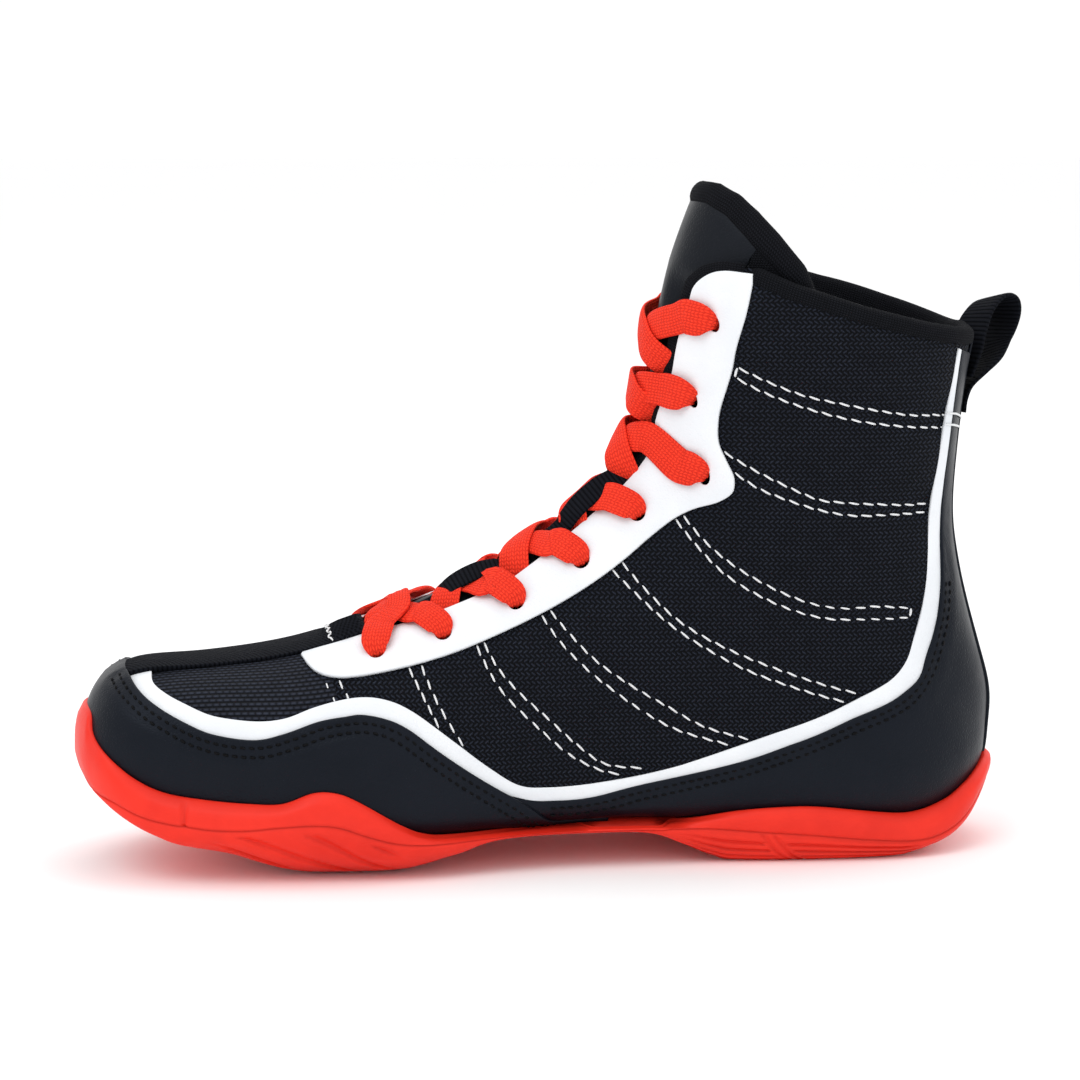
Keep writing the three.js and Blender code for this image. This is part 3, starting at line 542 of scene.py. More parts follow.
def band_profile(count, square):
    """A rounded cross-section: 2 is round, and more is squarer."""
    angle = np.linspace(0, math.tau, count, endpoint=False) + math.pi / count
    c, s = np.cos(angle), np.sin(angle)
    return np.stack([np.sign(c) * np.abs(c) ** (2 / square), np.sign(s) * np.abs(s) ** (2 / square)], 1)


# ---- materials -----------------------------------------------------------------------------------
class Wire:
    """A shader value that ordinary arithmetic turns into Math nodes."""

    def __init__(self, tree, socket):
        self.tree, self.socket = tree, socket

    def math(self, operation, *others):
        node = self.tree.nodes.new("ShaderNodeMath")
        node.operation = operation
        for socket, value in zip(node.inputs, (self, *others)):
            if isinstance(value, Wire):
                self.tree.links.new(value.socket, socket)
            else:
                socket.default_value = value
        return Wire(self.tree, node.outputs[0])

    def __add__(self, other): return self.math("ADD", other)
    def __sub__(self, other): return self.math("SUBTRACT", other)
    def __mul__(self, other): return self.math("MULTIPLY", other)
    def __truediv__(self, other): return self.math("DIVIDE", other)
    def sin(self): return self.math("SINE")
    def abs(self): return self.math("ABSOLUTE")
    def floor(self): return self.math("FLOOR")
    def fract(self): return self.math("FRACT")
    def power(self, other): return self.math("POWER", other)
    def minus_from(self, other): return (self * -1.0) + other

    def between(self, low, high):
        node = self.tree.nodes.new("ShaderNodeMapRange")
        node.interpolation_type = "SMOOTHSTEP"
        self.tree.links.new(self.socket, node.inputs["Value"])
        node.inputs["From Min"].default_value = low
        node.inputs["From Max"].default_value = high
        return Wire(self.tree, node.outputs["Result"])


class Look:
    """A Principled material with helpers for its textures. Colours are linear."""

    def __init__(self, name, roughness=0.6, **sockets):
        self.material = bpy.data.materials.new(name)
        self.material.use_nodes = True
        self.tree = self.material.node_tree
        self.shader = self.tree.nodes["Principled BSDF"]
        self.shader.inputs["Roughness"].default_value = roughness
        for socket, value in sockets.items():
            self.shader.inputs[socket.replace("_", " ")].default_value = value
        coordinates = self.tree.nodes.new("ShaderNodeTexCoord")
        self.object = coordinates.outputs["Object"]
        split = self.tree.nodes.new("ShaderNodeSeparateXYZ")
        self.tree.links.new(coordinates.outputs["UV"], split.inputs[0])
        self.x = Wire(self.tree, split.outputs[0]) * 10.0
        self.y = Wire(self.tree, split.outputs[1]) * 10.0
        LOOKS[name] = self.material

    def noise(self, size, detail=3.0):
        """Noise of about that size in millimetres, 0 to 1."""
        node = self.tree.nodes.new("ShaderNodeTexNoise")
        self.tree.links.new(self.object, node.inputs["Vector"])
        node.inputs["Scale"].default_value = 1000.0 / size
        node.inputs["Detail"].default_value = detail
        node.inputs["Roughness"].default_value = 0.6
        return Wire(self.tree, node.outputs["Fac"])

    def cells(self, size):
        node = self.tree.nodes.new("ShaderNodeTexVoronoi")
        self.tree.links.new(self.object, node.inputs["Vector"])
        node.inputs["Scale"].default_value = 1000.0 / size
        return Wire(self.tree, node.outputs["Distance"])

    def colour(self, low, high, share):
        node = self.tree.nodes.new("ShaderNodeMix")
        node.data_type = "RGBA"
        node.inputs["A"].default_value = (*low, 1)
        node.inputs["B"].default_value = (*high, 1)
        self.tree.links.new(share.socket, node.inputs["Factor"])
        self.tree.links.new(node.outputs["Result"], self.shader.inputs["Base Color"])

    def roughen(self, value):
        self.tree.links.new(value.socket, self.shader.inputs["Roughness"])

    def bump(self, height, distance):
        """Height of 1 stands that many millimetres proud."""
        node = self.tree.nodes.new("ShaderNodeBump")
        node.inputs["Distance"].default_value = distance * MM
        node.inputs["Strength"].default_value = 1.0
        self.tree.links.new(height.socket, node.inputs["Height"])
        self.tree.links.new(node.outputs[0], self.shader.inputs["Normal"])


def woven_mesh():
    """Open sports mesh: short raised yarns whose lean turns from row to row; the colour grows lighter with yarn
    height, painted highlight on the yarns and painted shade on the ground between them.
    """
    look = Look("quarter_mesh", 0.7, Specular_IOR_Level=0.1)
    row = look.y / 1.3 + look.noise(14.0) * 0.3
    turn = (row.floor() * 0.5).fract()
    lean = turn * 4.0 - 1.0
    across = (look.x / 1.6 + turn * 0.7).fract() - 0.5
    up = row.fract() - 0.5
    slant = (up - across * lean * 0.7 + look.noise(2.5) * 0.3 - 0.15).abs()
    yarn = (slant / 0.44).minus_from(1.0).math("MAXIMUM", 0.0)
    edge = (across.abs() * 2.0).power(3.0).minus_from(1.0)
    height = yarn * edge
    # Colour follows the yarn height: painted highlight on the raised yarns, painted shade in the hollows, varied at
    # random by noise.
    look.colour((0.0005, 0.0007, 0.0019), (0.036, 0.044, 0.068), height.power(1.4) * (look.noise(5.0) * 1.0 + 0.45))
    look.bump(height, 1.0)


def vamp_mesh():
    """Finer mesh of horizontal rows on the toe."""
    look = Look("toe_mesh", 0.65, Specular_IOR_Level=0.12)
    row = look.y / 1.6 + look.x * 0.08
    across = (look.x / 2.1 + (row.floor() * 0.5).fract()).fract() - 0.5
    rib = (row * math.pi).sin().abs()
    dash = (across.abs() * 2.0).power(2.5).minus_from(1.0)
    height = rib * (dash * 0.6 + 0.4)
    # Colour follows the rib height: painted highlight on the ribs and dashes, painted shade between them, varied at
    # random by noise.
    look.colour((0.0004, 0.0006, 0.0016), (0.030, 0.036, 0.055), height.power(1.5) * (look.noise(5.0) * 0.9 + 0.45))
    look.bump(height, 0.9)


def leather(name, low, high, rough, grain=0.12, **sockets):
    """Coated synthetic leather with fine grain, soft creases and rubbed patches."""
    look = Look(name, rough, **sockets)
    pores = look.cells(0.75).between(0.0, 0.55)
    creases = look.noise(6.0, 4.0)
    patch = look.noise(28.0, 2.0).between(0.35, 0.7)
    # The colour mixes real wear in the rubbed patches with painted shade in the crease hollows and painted
    # highlight on the crease ridges.
    look.colour(low, high, patch * 0.6 + creases * 0.4)
    look.roughen(patch * 0.10 + creases * 0.08 + (rough - 0.09))
    look.bump(pores * 0.6 + creases * 1.2, grain)


def rubber():
    """Matt moulded rubber with a faint cloudy bloom."""
    look = Look("sole_rubber", 0.5, Specular_IOR_Level=0.22)
    fine = look.noise(0.9, 2.0)
    cloud = look.noise(22.0, 3.0).between(0.3, 0.72)
    look.colour((0.74, 0.022, 0.010), (0.84, 0.030, 0.014), cloud)
    look.roughen(cloud * 0.12 + fine * 0.06 + 0.38)
    look.bump(fine + look.noise(5.0, 2.0), 0.05)


def lace_weave():
    """Flat plaited lace: columns of slanted stitches that lean in turn to each side."""
    look = Look("lace_weave", 0.75, Specular_IOR_Level=0.15)
    column = look.y / 0.9 + look.noise(3.0) * 0.5
    lean = (column.floor() * 0.5).fract() * 4.0 - 1.0
    inside_column = column.fract() - 0.5
    stitch = (look.x / 1.3 + look.noise(2.0) * 0.5 + inside_column * lean * 0.55).fract() - 0.5
    loaf = (stitch.abs() * 2.0).power(2.2).minus_from(1.0)
    ridge = (inside_column.abs() * 2.0).power(3.0).minus_from(1.0)
    height = loaf * ridge
    # Colour follows the stitch height: painted highlight on the stitch tops, painted shade in the recesses, plus
    # uneven dye tone from noise.
    look.colour((0.60, 0.016, 0.007), (0.98, 0.050, 0.020), height * 0.8 + look.noise(3.0) * 0.4)
    look.bump(height + look.noise(0.35, 2.0) * 0.3, 0.24)


def ribbed_tape():
    """Grosgrain: ribs across the band, fine warp yarns along it."""
    look = Look("ribbed_tape", 0.8, Specular_IOR_Level=0.05)
    rib = ((look.x / 1.4) * math.pi).sin().abs().power(0.7)
    warp = ((look.y / 0.45) * math.pi).sin().abs()
    height = rib * (warp * 0.25 + 0.75)
    # Colour follows the rib height: painted highlight on the ribs, painted shade in the grooves, varied at random
    # by noise.
    look.colour((0.0006, 0.0007, 0.0014), (0.0105, 0.012, 0.017), height * (look.noise(5.0) * 0.5 + 0.6))
    look.bump(height, 0.4)


def knit(name, low, high, wale=0.9):
    """Fine knitted trim: rows of small V-shaped loops."""
    look = Look(name, 0.85, Specular_IOR_Level=0.08)
    column = look.x / wale
    inside_column = (column.fract() - 0.5).abs()
    loop = (look.y / (wale * 0.8) + inside_column * 1.1).fract() - 0.5
    height = (loop.abs() * 2.0).power(2.0).minus_from(1.0) * (inside_column * 2.0).power(4.0).minus_from(1.0)
    # Colour follows the loop height: painted highlight on the loops, painted shade between them, varied at random
    # by noise.
    look.colour(low, high, height * (look.noise(4.0) * 0.6 + 0.6))
    look.bump(height + look.noise(0.3, 2.0) * 0.4, 0.3)


def thread(name, low, high):
    """Twisted sewing thread."""
    look = Look(name, 0.6, Specular_IOR_Level=0.12)
    twist = ((look.x / 0.55 + look.y * 0.1) * math.tau).sin() * 0.5 + 0.5
    # Colour follows the twist: painted shade in the grooves between the strands, painted highlight on their crowns,
    # plus uneven tone from noise.
    look.colour(low, high, twist * 0.7 + look.noise(1.5) * 0.4)
    look.bump(twist, 0.12)


def plain_solids():
    """Board, foam and stiffener: the pieces hidden between upper and lining."""
    for name, low, high, rough, size in (
            ("fibre_board", (0.36, 0.28, 0.17), (0.55, 0.46, 0.32), 0.85, 1.6),
            ("eva_foam", (0.018, 0.018, 0.022), (0.034, 0.034, 0.04), 0.8, 0.7),
            ("padding_foam", (0.05, 0.055, 0.065), (0.10, 0.105, 0.12), 0.95, 0.9),
            ("stiffener_sheet", (0.55, 0.52, 0.44), (0.70, 0.67, 0.58), 0.65, 2.2)):
        look = Look(name, rough)
        speck = look.noise(size, 3.0)
        look.colour(low, high, speck)
        look.bump(speck, 0.25)
    look = Look("lace_tip", 0.25, Specular_IOR_Level=0.5, Coat_Weight=0.4)
    wrap = look.noise(3.0, 2.0)
    look.colour((0.30, 0.010, 0.006), (0.42, 0.018, 0.010), wrap)
    look.bump(wrap, 0.05)


woven_mesh()
vamp_mesh()
# The two colours of each leather span real patchy wear and painted shade and highlight across the creases.
leather("black_leather", (0.0022, 0.0027, 0.0052), (0.0048, 0.0056, 0.0092), 0.42, Specular_IOR_Level=0.17,
        Specular_Tint=(0.72, 0.84, 1.0, 1))
leather("tongue_leather", (0.0018, 0.0022, 0.004), (0.004, 0.0048, 0.0075), 0.42, Specular_IOR_Level=0.18,
        Specular_Tint=(0.8, 0.88, 1.0, 1))
leather("white_leather", (0.74, 0.765, 0.80), (0.82, 0.84, 0.865), 0.5, grain=0.07, Specular_IOR_Level=0.3)
rubber()
lace_weave()
ribbed_tape()
# Each knit takes the colour of its shaded hollows, then of its lit loops: painted shade and painted highlight.
knit("knit_trim", (0.001, 0.0012, 0.002), (0.0105, 0.0115, 0.0155))
knit("lining_knit", (0.0015, 0.0018, 0.003), (0.013, 0.0145, 0.02), 1.2)
knit("footbed_cloth", (0.002, 0.0024, 0.004), (0.016, 0.0175, 0.024), 1.4)
# Each thread takes the colour of its shaded twist grooves, then of its lit strands: painted shade and painted
# highlight.
thread("white_thread", (0.72, 0.73, 0.74), (0.93, 0.94, 0.95))
thread("black_thread", (0.0008, 0.0008, 0.0012), (0.0035, 0.0038, 0.005))
plain_solids()

# ---- edges on the last, given for one side -------------------------------------------------------
TOE_EDGE = [(3.66, 0.095), (3.76, 0.21), (4.02, 0.29), (4.5, 0.365), (4.85, 0.392), (5.25, 0.402),
            (5.61, 0.387), (6.05, 0.362), (6.4, 0.36), (6.6, 0.364), (6.88, 0.39), (7.11, 0.427),
            (7.38, 0.49), (7.65, 0.55), (8.0, 0.625), (8.38, 0.703), (8.74, 0.785), (9.2, 0.797)]
STRIPE_EDGE = [(4.12, 0.103), (4.09, 0.18), (4.25, 0.24), (4.52, 0.29), (4.75, 0.322), (5.01, 0.338),
               (5.35, 0.348), (5.68, 0.343), (6.05, 0.32), (6.41, 0.312), (6.71, 0.32), (6.98, 0.346),
               (7.21, 0.385), (7.45, 0.44), (7.71, 0.503), (8.0, 0.575), (8.3, 0.64), (8.61, 0.665),
               (9.1, 0.682), (9.74, 0.68), (10.61, 0.655), (11.21, 0.645), (11.94, 0.65), (12.57, 0.682),
               (12.91, 0.695), (13.4, 0.705), (14.57, 0.748), (16.0, 0.797), (16.8, 0.81), (17.9, 0.8)]
HEEL_EDGE = [(7.95, 0.645), (8.31, 0.678), (8.6, 0.7), (9.04, 0.715), (9.6, 0.704), (10.54, 0.69),
             (11.11, 0.677), (11.81, 0.674), (12.44, 0.706), (12.84, 0.73), (13.24, 0.737), (14.0, 0.766),
             (14.74, 0.797), (16.1, 0.836), (16.87, 0.838), (17.9, 0.812)]
FACING_OUTER = [(6.08, 0.12), (6.12, 0.17), (6.2, 0.21), (6.38, 0.24), (6.68, 0.256), (7.2, 0.263),
                (7.8, 0.261), (8.4, 0.251), (9.0, 0.24), (9.6, 0.225), (10.31, 0.204), (10.8, 0.192),
                (11.3, 0.192), (11.77, 0.208), (12.27, 0.24), (12.61, 0.258), (12.78, 0.26), (12.96, 0.254),
                (13.1, 0.235), (13.3, 0.214), (13.61, 0.208), (14.17, 0.215), (15.24, 0.25),
                (15.84, 0.262), (16.77, 0.28), (17.6, 0.284), (17.97, 0.279)]
FACING_INNER = [(6.08, 0.12), (6.12, 0.1), (6.3, 0.091), (6.8, 0.1), (7.38, 0.117), (8.25, 0.117),
                (8.78, 0.115), (9.18, 0.1), (9.71, 0.081), (10.3, 0.07), (11.18, 0.068), (12.0, 0.07),
                (12.4, 0.06), (13.0, 0.07), (13.74, 0.088), (14.81, 0.105), (16.27, 0.135),
                (16.97, 0.145), (17.5, 0.175), (17.8, 0.215), (17.97, 0.279)]
EYELETS = [(6.95, 0.193), (7.81, 0.195), (8.83, 0.183), (9.81, 0.157), (10.84, 0.136), (12.44, 0.194),
           (13.81, 0.143), (16.2, 0.202)]
COLLAR_U = lerp([(0.25, 18.1), (0.3, 18.02), (0.375, 17.95), (0.54, 18.0), (0.7, 18.13), (0.85, 18.3),
                 (1.0, 18.46)])
EYELET_RADIUS = 2.7
# Depths over the last, in millimetres.
MESH_LOW = -1.2
FACING_TOP = 1.35
OVERLAY_TOP = 1.8
STRIPE_TOP = 0.95

facing_inner = lerp(FACING_INNER[1:])


def collar_u(t):
    """The lateral side of the collar stands a little higher."""
    t = (np.asarray(t, float) + 1) % 2 - 1
    return COLLAR_U(np.abs(t)) + 0.42 * ease(0.26, 0.4, t) * ease(1.02, 0.55, t)


def hole(u, t, side, radius, count=18):
    """A round hole, as (u, t) points."""
    du = pitch_at(u, side * t, 0.05)
    dt = np.linalg.norm(on_last(u, side * t + 0.01) - on_last(u, side * t - 0.01)) / 0.02
    angle = np.arange(count) * math.tau / count
    return np.array([[u, side * t]]) + radius * np.stack([np.cos(angle) / du, np.sin(angle) / dt], 1)


def eyelet_holes(side, radius):
    return [hole(u, t, side, radius) for u, t in EYELETS]


# ---- quilting ------------------------------------------------------------------------------------
QUILTING = [
    [(6.26, 0.235), (6.33, 0.33)],
    [(6.42, 0.24), (6.5, 0.33)],
    [(7.28, 0.26), (7.38, 0.35), (7.5, 0.445)],
    [(7.44, 0.26), (7.51, 0.35), (7.62, 0.43), (7.76, 0.51)],
    [(8.18, 0.25), (8.28, 0.345), (8.41, 0.415), (8.68, 0.51), (8.94, 0.595), (9.2, 0.65), (9.42, 0.675)],
    [(8.28, 0.25), (8.38, 0.33), (8.55, 0.405), (8.81, 0.492), (9.08, 0.585), (9.3, 0.642), (9.65, 0.668)],
    [(9.08, 0.235), (9.21, 0.32), (9.4, 0.4), (9.6, 0.465), (9.84, 0.535), (10.1, 0.595), (10.5, 0.652)],
    [(9.2, 0.232), (9.34, 0.305), (9.54, 0.39), (9.81, 0.468), (10.08, 0.534), (10.35, 0.6), (10.7, 0.65)],
    [(10.12, 0.205), (10.28, 0.28), (10.48, 0.365), (10.73, 0.44), (11.04, 0.512), (11.4, 0.573), (11.86, 0.645)],
    [(10.28, 0.2), (10.41, 0.28), (10.58, 0.36), (10.81, 0.425), (11.1, 0.485), (11.45, 0.545), (12.06, 0.647)],
    [(11.32, 0.19), (11.38, 0.26), (11.5, 0.33), (11.74, 0.395), (12.04, 0.457), (12.4, 0.52), (12.84, 0.585),
     (13.5, 0.69)],
    [(11.48, 0.195), (11.54, 0.26), (11.7, 0.325), (12.0, 0.403), (12.36, 0.48), (12.75, 0.545),
     (13.2, 0.61), (13.64, 0.69)],
    [(13.0, 0.25), (13.17, 0.31), (13.44, 0.37), (13.75, 0.435), (14.22, 0.53), (14.77, 0.64), (15.32, 0.768)],
    [(13.2, 0.22), (13.4, 0.285), (13.67, 0.36), (14.01, 0.45), (14.37, 0.52), (14.86, 0.625), (15.46, 0.774)],
    [(15.17, 0.257), (15.28, 0.32), (15.5, 0.405), (15.76, 0.495), (16.0, 0.575), (16.34, 0.69),
     (16.64, 0.812), (16.8, 0.945)],
    [(15.44, 0.262), (15.58, 0.335), (15.78, 0.422), (16.08, 0.52), (16.34, 0.615), (16.55, 0.7),
     (16.8, 0.802), (16.97, 0.945)],
]


def row_points(rows, spacing):
    """Places along rows of (u, t), to measure distances from."""
    return np.concatenate([spread(lay(row), lay(row), spacing) for row in rows])


def quilt_relief(side):
    """The padding swells between the sewn channels."""
    rows = row_points([one_side(row, side) for row in QUILTING], 1.5)

    def relief(points, ut):
        gap = distance_to(points, rows)
        free = ease(0.24, 0.3, np.abs(ut[:, 1])) * ease(18.2, 17.4, ut[:, 0]) * ease(7.0, 9.0, ut[:, 0])
        return 0.8 * (1 - np.exp(-((gap / 6.0) ** 2))) * free - 0.55 * np.exp(-((gap / 1.5) ** 2))
    return relief


# ---- upper ---------------------------------------------------------------------------------------
def straight(*points):
    return np.asarray(points, float)


def ring_run(u, t0, t1, count=60):
    return np.stack([np.full(count, float(u)), np.linspace(t0, t1, count)], 1)


def joined(*runs):
    """Runs of (u, t), each joined to the next by a straight run."""
    result = []
    for run, following in zip(runs, [*runs[1:], runs[0]]):
        result.append(run)
        if np.linalg.norm((run[-1] - following[0]) * FLAT) > 1e-6:
            result.append(np.stack([run[-1], following[0]]))
    return result


def toe_underside(u_far, t_far):
    """Runs under the toe, from one side's feather line to the other's."""
    near = smooth([(u_far, t_far), (3.0, 0.87), (1.7, 0.9), (1.25, 1.0)], 10)
    far = near[::-1] * np.array([1, -1])
    return np.concatenate([near, far[1:]])


def vamp():
    edge = ring_run(6.36, -0.88, 0.88, 90)
    under = toe_underside(6.36, 0.88)
    panel("toe_box_mesh", joined(edge, under), MESH_LOW, 0.0, "toe_mesh", polar=True, uv="top",
          nodes=("toe_box",), slot="mesh", spacing=2.5)
    lining = ring_run(6.3, -0.86, 0.86, 90)
    panel("toe_lining", joined(lining, toe_underside(6.3, 0.86)), -3.6, -2.8, "lining_knit", polar=True,
          uv="top", nodes=("vamp_lining",), slot="lining", spacing=3, grid=4)
    puff = ring_run(3.55, -0.8, 0.8, 60)
    panel("toe_puff_sheet", joined(puff, toe_underside(3.55, 0.8)), -2.4, -1.5, "stiffener_sheet",
          polar=True, uv="top", nodes=("toe_puff",), slot="stiffener", spacing=3, grid=4)


BINDING_T = lerp([(12.2, 0.006), (13.5, 0.022), (15, 0.03), (17, 0.032), (18, 0.028)])


def quarters():
    for side, name in SIDES:
        u, t = np.linspace(6.3, 17.8, 60), side * np.linspace(0.262, 0.9985, 40)
        edge = np.stack([u, side * (facing_inner(u) - BINDING_T(u) * (u > 12))], 1)
        top = np.stack([collar_u(t), t], 1)
        back = straight((18.4, 0.9985 * side), (13.2, 0.9985 * side))
        under = smooth(mirrored([(13.2, 0.9985), (12.6, 0.96), (11.8, 0.91), (10, 0.9), (6.3, 0.9)], side), 8)
        panel(f"quarter_{name}_mesh", joined(edge, top, back, under), MESH_LOW, 0.0, "quarter_mesh",
              holes=eyelet_holes(side, EYELET_RADIUS + 0.4), grid=1.9, relief=quilt_relief(side),
              nodes=(f"quarter_{name}",), slot="mesh")


def facings():
    for side, name in SIDES:
        outer, inner = one_side(FACING_OUTER, side), one_side(FACING_INNER, side)[::-1]
        centres = lay(mirrored(EYELETS, side))

        def pucker(points, _):
            gap = distance_to(points, centres)
            return -0.32 * np.exp(-((gap - EYELET_RADIUS) / 2.2) ** 2)

        def top(u, t):
            beyond = (np.abs(t) - facing_inner(u)) * girth(u, t)
            return FACING_TOP - 0.8 * np.exp(-((beyond / 3.5) ** 2)) * ease(13.5, 12, u)
        panel(f"eyestay_{name}_leather", joined(outer, inner), 0.1, top, "white_leather",
              holes=eyelet_holes(side, EYELET_RADIUS), grid=1.7, rim=0.45, relief=pucker, spacing=1.0,
              nodes=(f"eyestay_{name}",), slot="white")


def stripes():
    for side, name in SIDES:
        top = one_side(STRIPE_EDGE, side)
        heel = one_side(np.add(HEEL_EDGE[2:], (0, 0.012)), side)[::-1]
        toe = one_side(np.add(TOE_EDGE[1:15], (0, 0.016)), side)[::-1]
        end = straight((3.6, 0.2 * side), (3.6, 0.1 * side))
        panel(f"stripe_{name}_leather", joined(top, heel, toe, end), 0.05, STRIPE_TOP, "white_leather",
              grid=2.0, rim=0.3, spacing=1.2, nodes=(f"stripe_{name}",), slot="white")


def edge_relief(rows):
    """A sewn edge: shallow channels under the stitches, and a soft swelling between them."""
    def relief(points, _):
        gap = distance_to(points, rows)
        return -0.3 * np.exp(-((gap / 0.9) ** 2)) + 0.25 * np.exp(-(((gap - 2.6) / 1.6) ** 2))
    return relief


def parallel(edge, distance, side):
    """A row beside an edge, given for the positive side, at a distance on the last."""
    run = one_side(edge, side)
    even = spread(run, lay(run), 3.0)
    tangent = unit(np.gradient(lay(even), axis=0))
    return moved(even, np.cross(normal_at(even[:, 0], even[:, 1]), tangent) * side, distance)


TOE_ROWS = [parallel(TOE_EDGE, gap, side) for side, _ in SIDES for gap in (2.5, 5.1)]
HEEL_ROWS = [parallel(HEEL_EDGE[2:13], gap, side) for side, _ in SIDES for gap in (2.1, 4.3)]


def toe_top(u, t):
    return OVERLAY_TOP + 1.1 * ease(0.4, 0.1, np.abs(t)) * ease(1.7, 3.0, u) + 0.7 * ease(7.9, 8.4, u)


def overlays():
    """Toe overlay, heel overlay and the strip up the back seam."""
    toe = smooth(TOE_EDGE, 6)
    over = smooth([(3.66, 0.095), (3.63, 0.05), (3.62, 0.0), (3.63, -0.05), (3.66, -0.095)], 8)[::-1]
    medial = mirrored(toe, -1)[::-1]
    bottom = np.concatenate([straight((9.2, 0.88), (7.0, 0.88)), toe_underside(6.0, 0.88),
                             straight((7.0, -0.88), (9.2, -0.88))])
    panel("toe_overlay_leather", joined(medial, over[::-1], toe, bottom), 0.1, toe_top,
          "black_leather", polar=True, grid=2.2, rim=0.6, relief=edge_relief(row_points(TOE_ROWS, 1.2)),
          nodes=("toe_overlay",), slot="leather", spacing=1.2)
    heel = smooth(HEEL_EDGE, 6)
    far = heel[::-1] * np.array([1, -1]) + np.array([0, 2.0])
    top = smooth([(17.9, 0.812), (17.92, 0.9), (17.93, 1.0), (17.92, 1.1), (17.9, 1.188)], 8)
    bottom = smooth([(7.95, 1.12), (10, 1.12), (11.3, 1.115), (12.1, 1.07), (12.25, 1.0), (12.1, 0.93),
                     (11.3, 0.885), (10, 0.88), (7.95, 0.88)], 8)
    border = [(17.9, 0.86), (17.5, 0.915), (16.97, 0.925), (16.4, 0.905), (15.9, 0.882), (15.27, 0.84),
              (14.8, 0.812)]
    sewn = edge_relief(row_points(HEEL_ROWS, 1.2))
    fold = row_points([one_side(border, side) for side, _ in SIDES], 1.2)

    def relief(points, ut):
        return sewn(points, ut) - 0.35 * np.exp(-((distance_to(points, fold) / 0.7) ** 2))
    panel("heel_overlay_leather", joined(heel, top, far, bottom), 0.1,
          lambda u, t: OVERLAY_TOP - 0.15 - 0.55 * ease(15, 16, u) - 0.5 * ease(8.9, 8.2, u),
          "black_leather", grid=2.0, rim=0.5, relief=relief, nodes=("heel_overlay",), slot="leather",
          spacing=1.2)
    strip = joined(straight((12.4, 0.95), (18.2, 0.95)), ring_run(18.2, 0.95, 1.05, 12),
                   straight((18.2, 1.05), (12.4, 1.05)))
    panel("heel_strip_leather", strip, 0.9, lambda u, t: OVERLAY_TOP + 0.8 - 0.8 * ease(15, 16, u),
          "black_leather", grid=2.4, rim=0.5, nodes=("heel_strip",), slot="leather")


def inside_pieces():
    """Lining, ankle padding, heel stiffener and footbed."""
    round_back = np.linspace(0.3, 1.7, 80)
    lining = joined(straight((6.4, 0.27), (9.0, 0.26), (10.8, 0.22), (12.6, 0.27), (14, 0.24), (18.0, 0.3)),
                    np.stack([collar_u(round_back) - 0.12, round_back], 1),
                    straight((18.0, 1.7), (14, 1.76), (12.6, 1.73), (10.8, 1.78), (9.0, 1.74), (6.4, 1.73)),
                    smooth([(6.4, 1.14), (10, 1.13), (11.5, 1.1), (12.2, 1.0), (11.5, 0.9), (10, 0.87),
                            (6.4, 0.86)], 8))
    panel("shaft_lining", lining, -3.9, -3.0, "lining_knit", grid=3.0, rim=0.3, spacing=2.0, uv="front",
          nodes=("quarter_lining",), slot="lining")
    t = np.linspace(0.33, 0.99, 30)
    for side, name in SIDES:
        pad = joined(*[mirrored(run, side) for run in (
            straight((9.0, 0.3), (10.5, 0.27), (12.6, 0.3), (15, 0.3), (17.9, 0.33)),
            np.stack([COLLAR_U(t) - 0.25, t], 1),
            straight((18.0, 0.99), (15.2, 0.99), (14.4, 0.55), (10, 0.5), (9.0, 0.48)))])
        piece = panel(f"ankle_padding_{name}_foam", pad, -2.9, -1.4, "padding_foam", grid=4.0, rim=0.5,
                      spacing=3.0, nodes=(f"ankle_padding_{name}",), slot="foam")
    counter = joined(smooth([(11.4, 0.68), (12.4, 0.62), (13.9, 0.63)], 8), ring_run(13.9, 0.63, 1.37, 40),
                     smooth([(13.9, 1.37), (12.4, 1.38), (11.4, 1.32)], 8))
    panel("heel_counter_sheet", counter, -2.7, -1.5, "stiffener_sheet", grid=3.5, rim=0.4, spacing=3.0,
          nodes=("heel_counter",), slot="stiffener")
    bed = joined(smooth([(1.9, 0.93), (3, 0.9), (6, 0.885), (9, 0.88), (11.2, 0.9), (12.2, 1.0)], 8),
                 smooth([(12.2, 1.0), (11.2, 1.1), (9, 1.12), (6, 1.115), (3, 1.1), (1.9, 1.07)], 8))
    piece = panel("footbed", bed, -7.6, -4.2, "footbed_cloth", grid=3.0, rim=0.8, spacing=2.0,
                  nodes=("sockliner",), slot="sockliner")


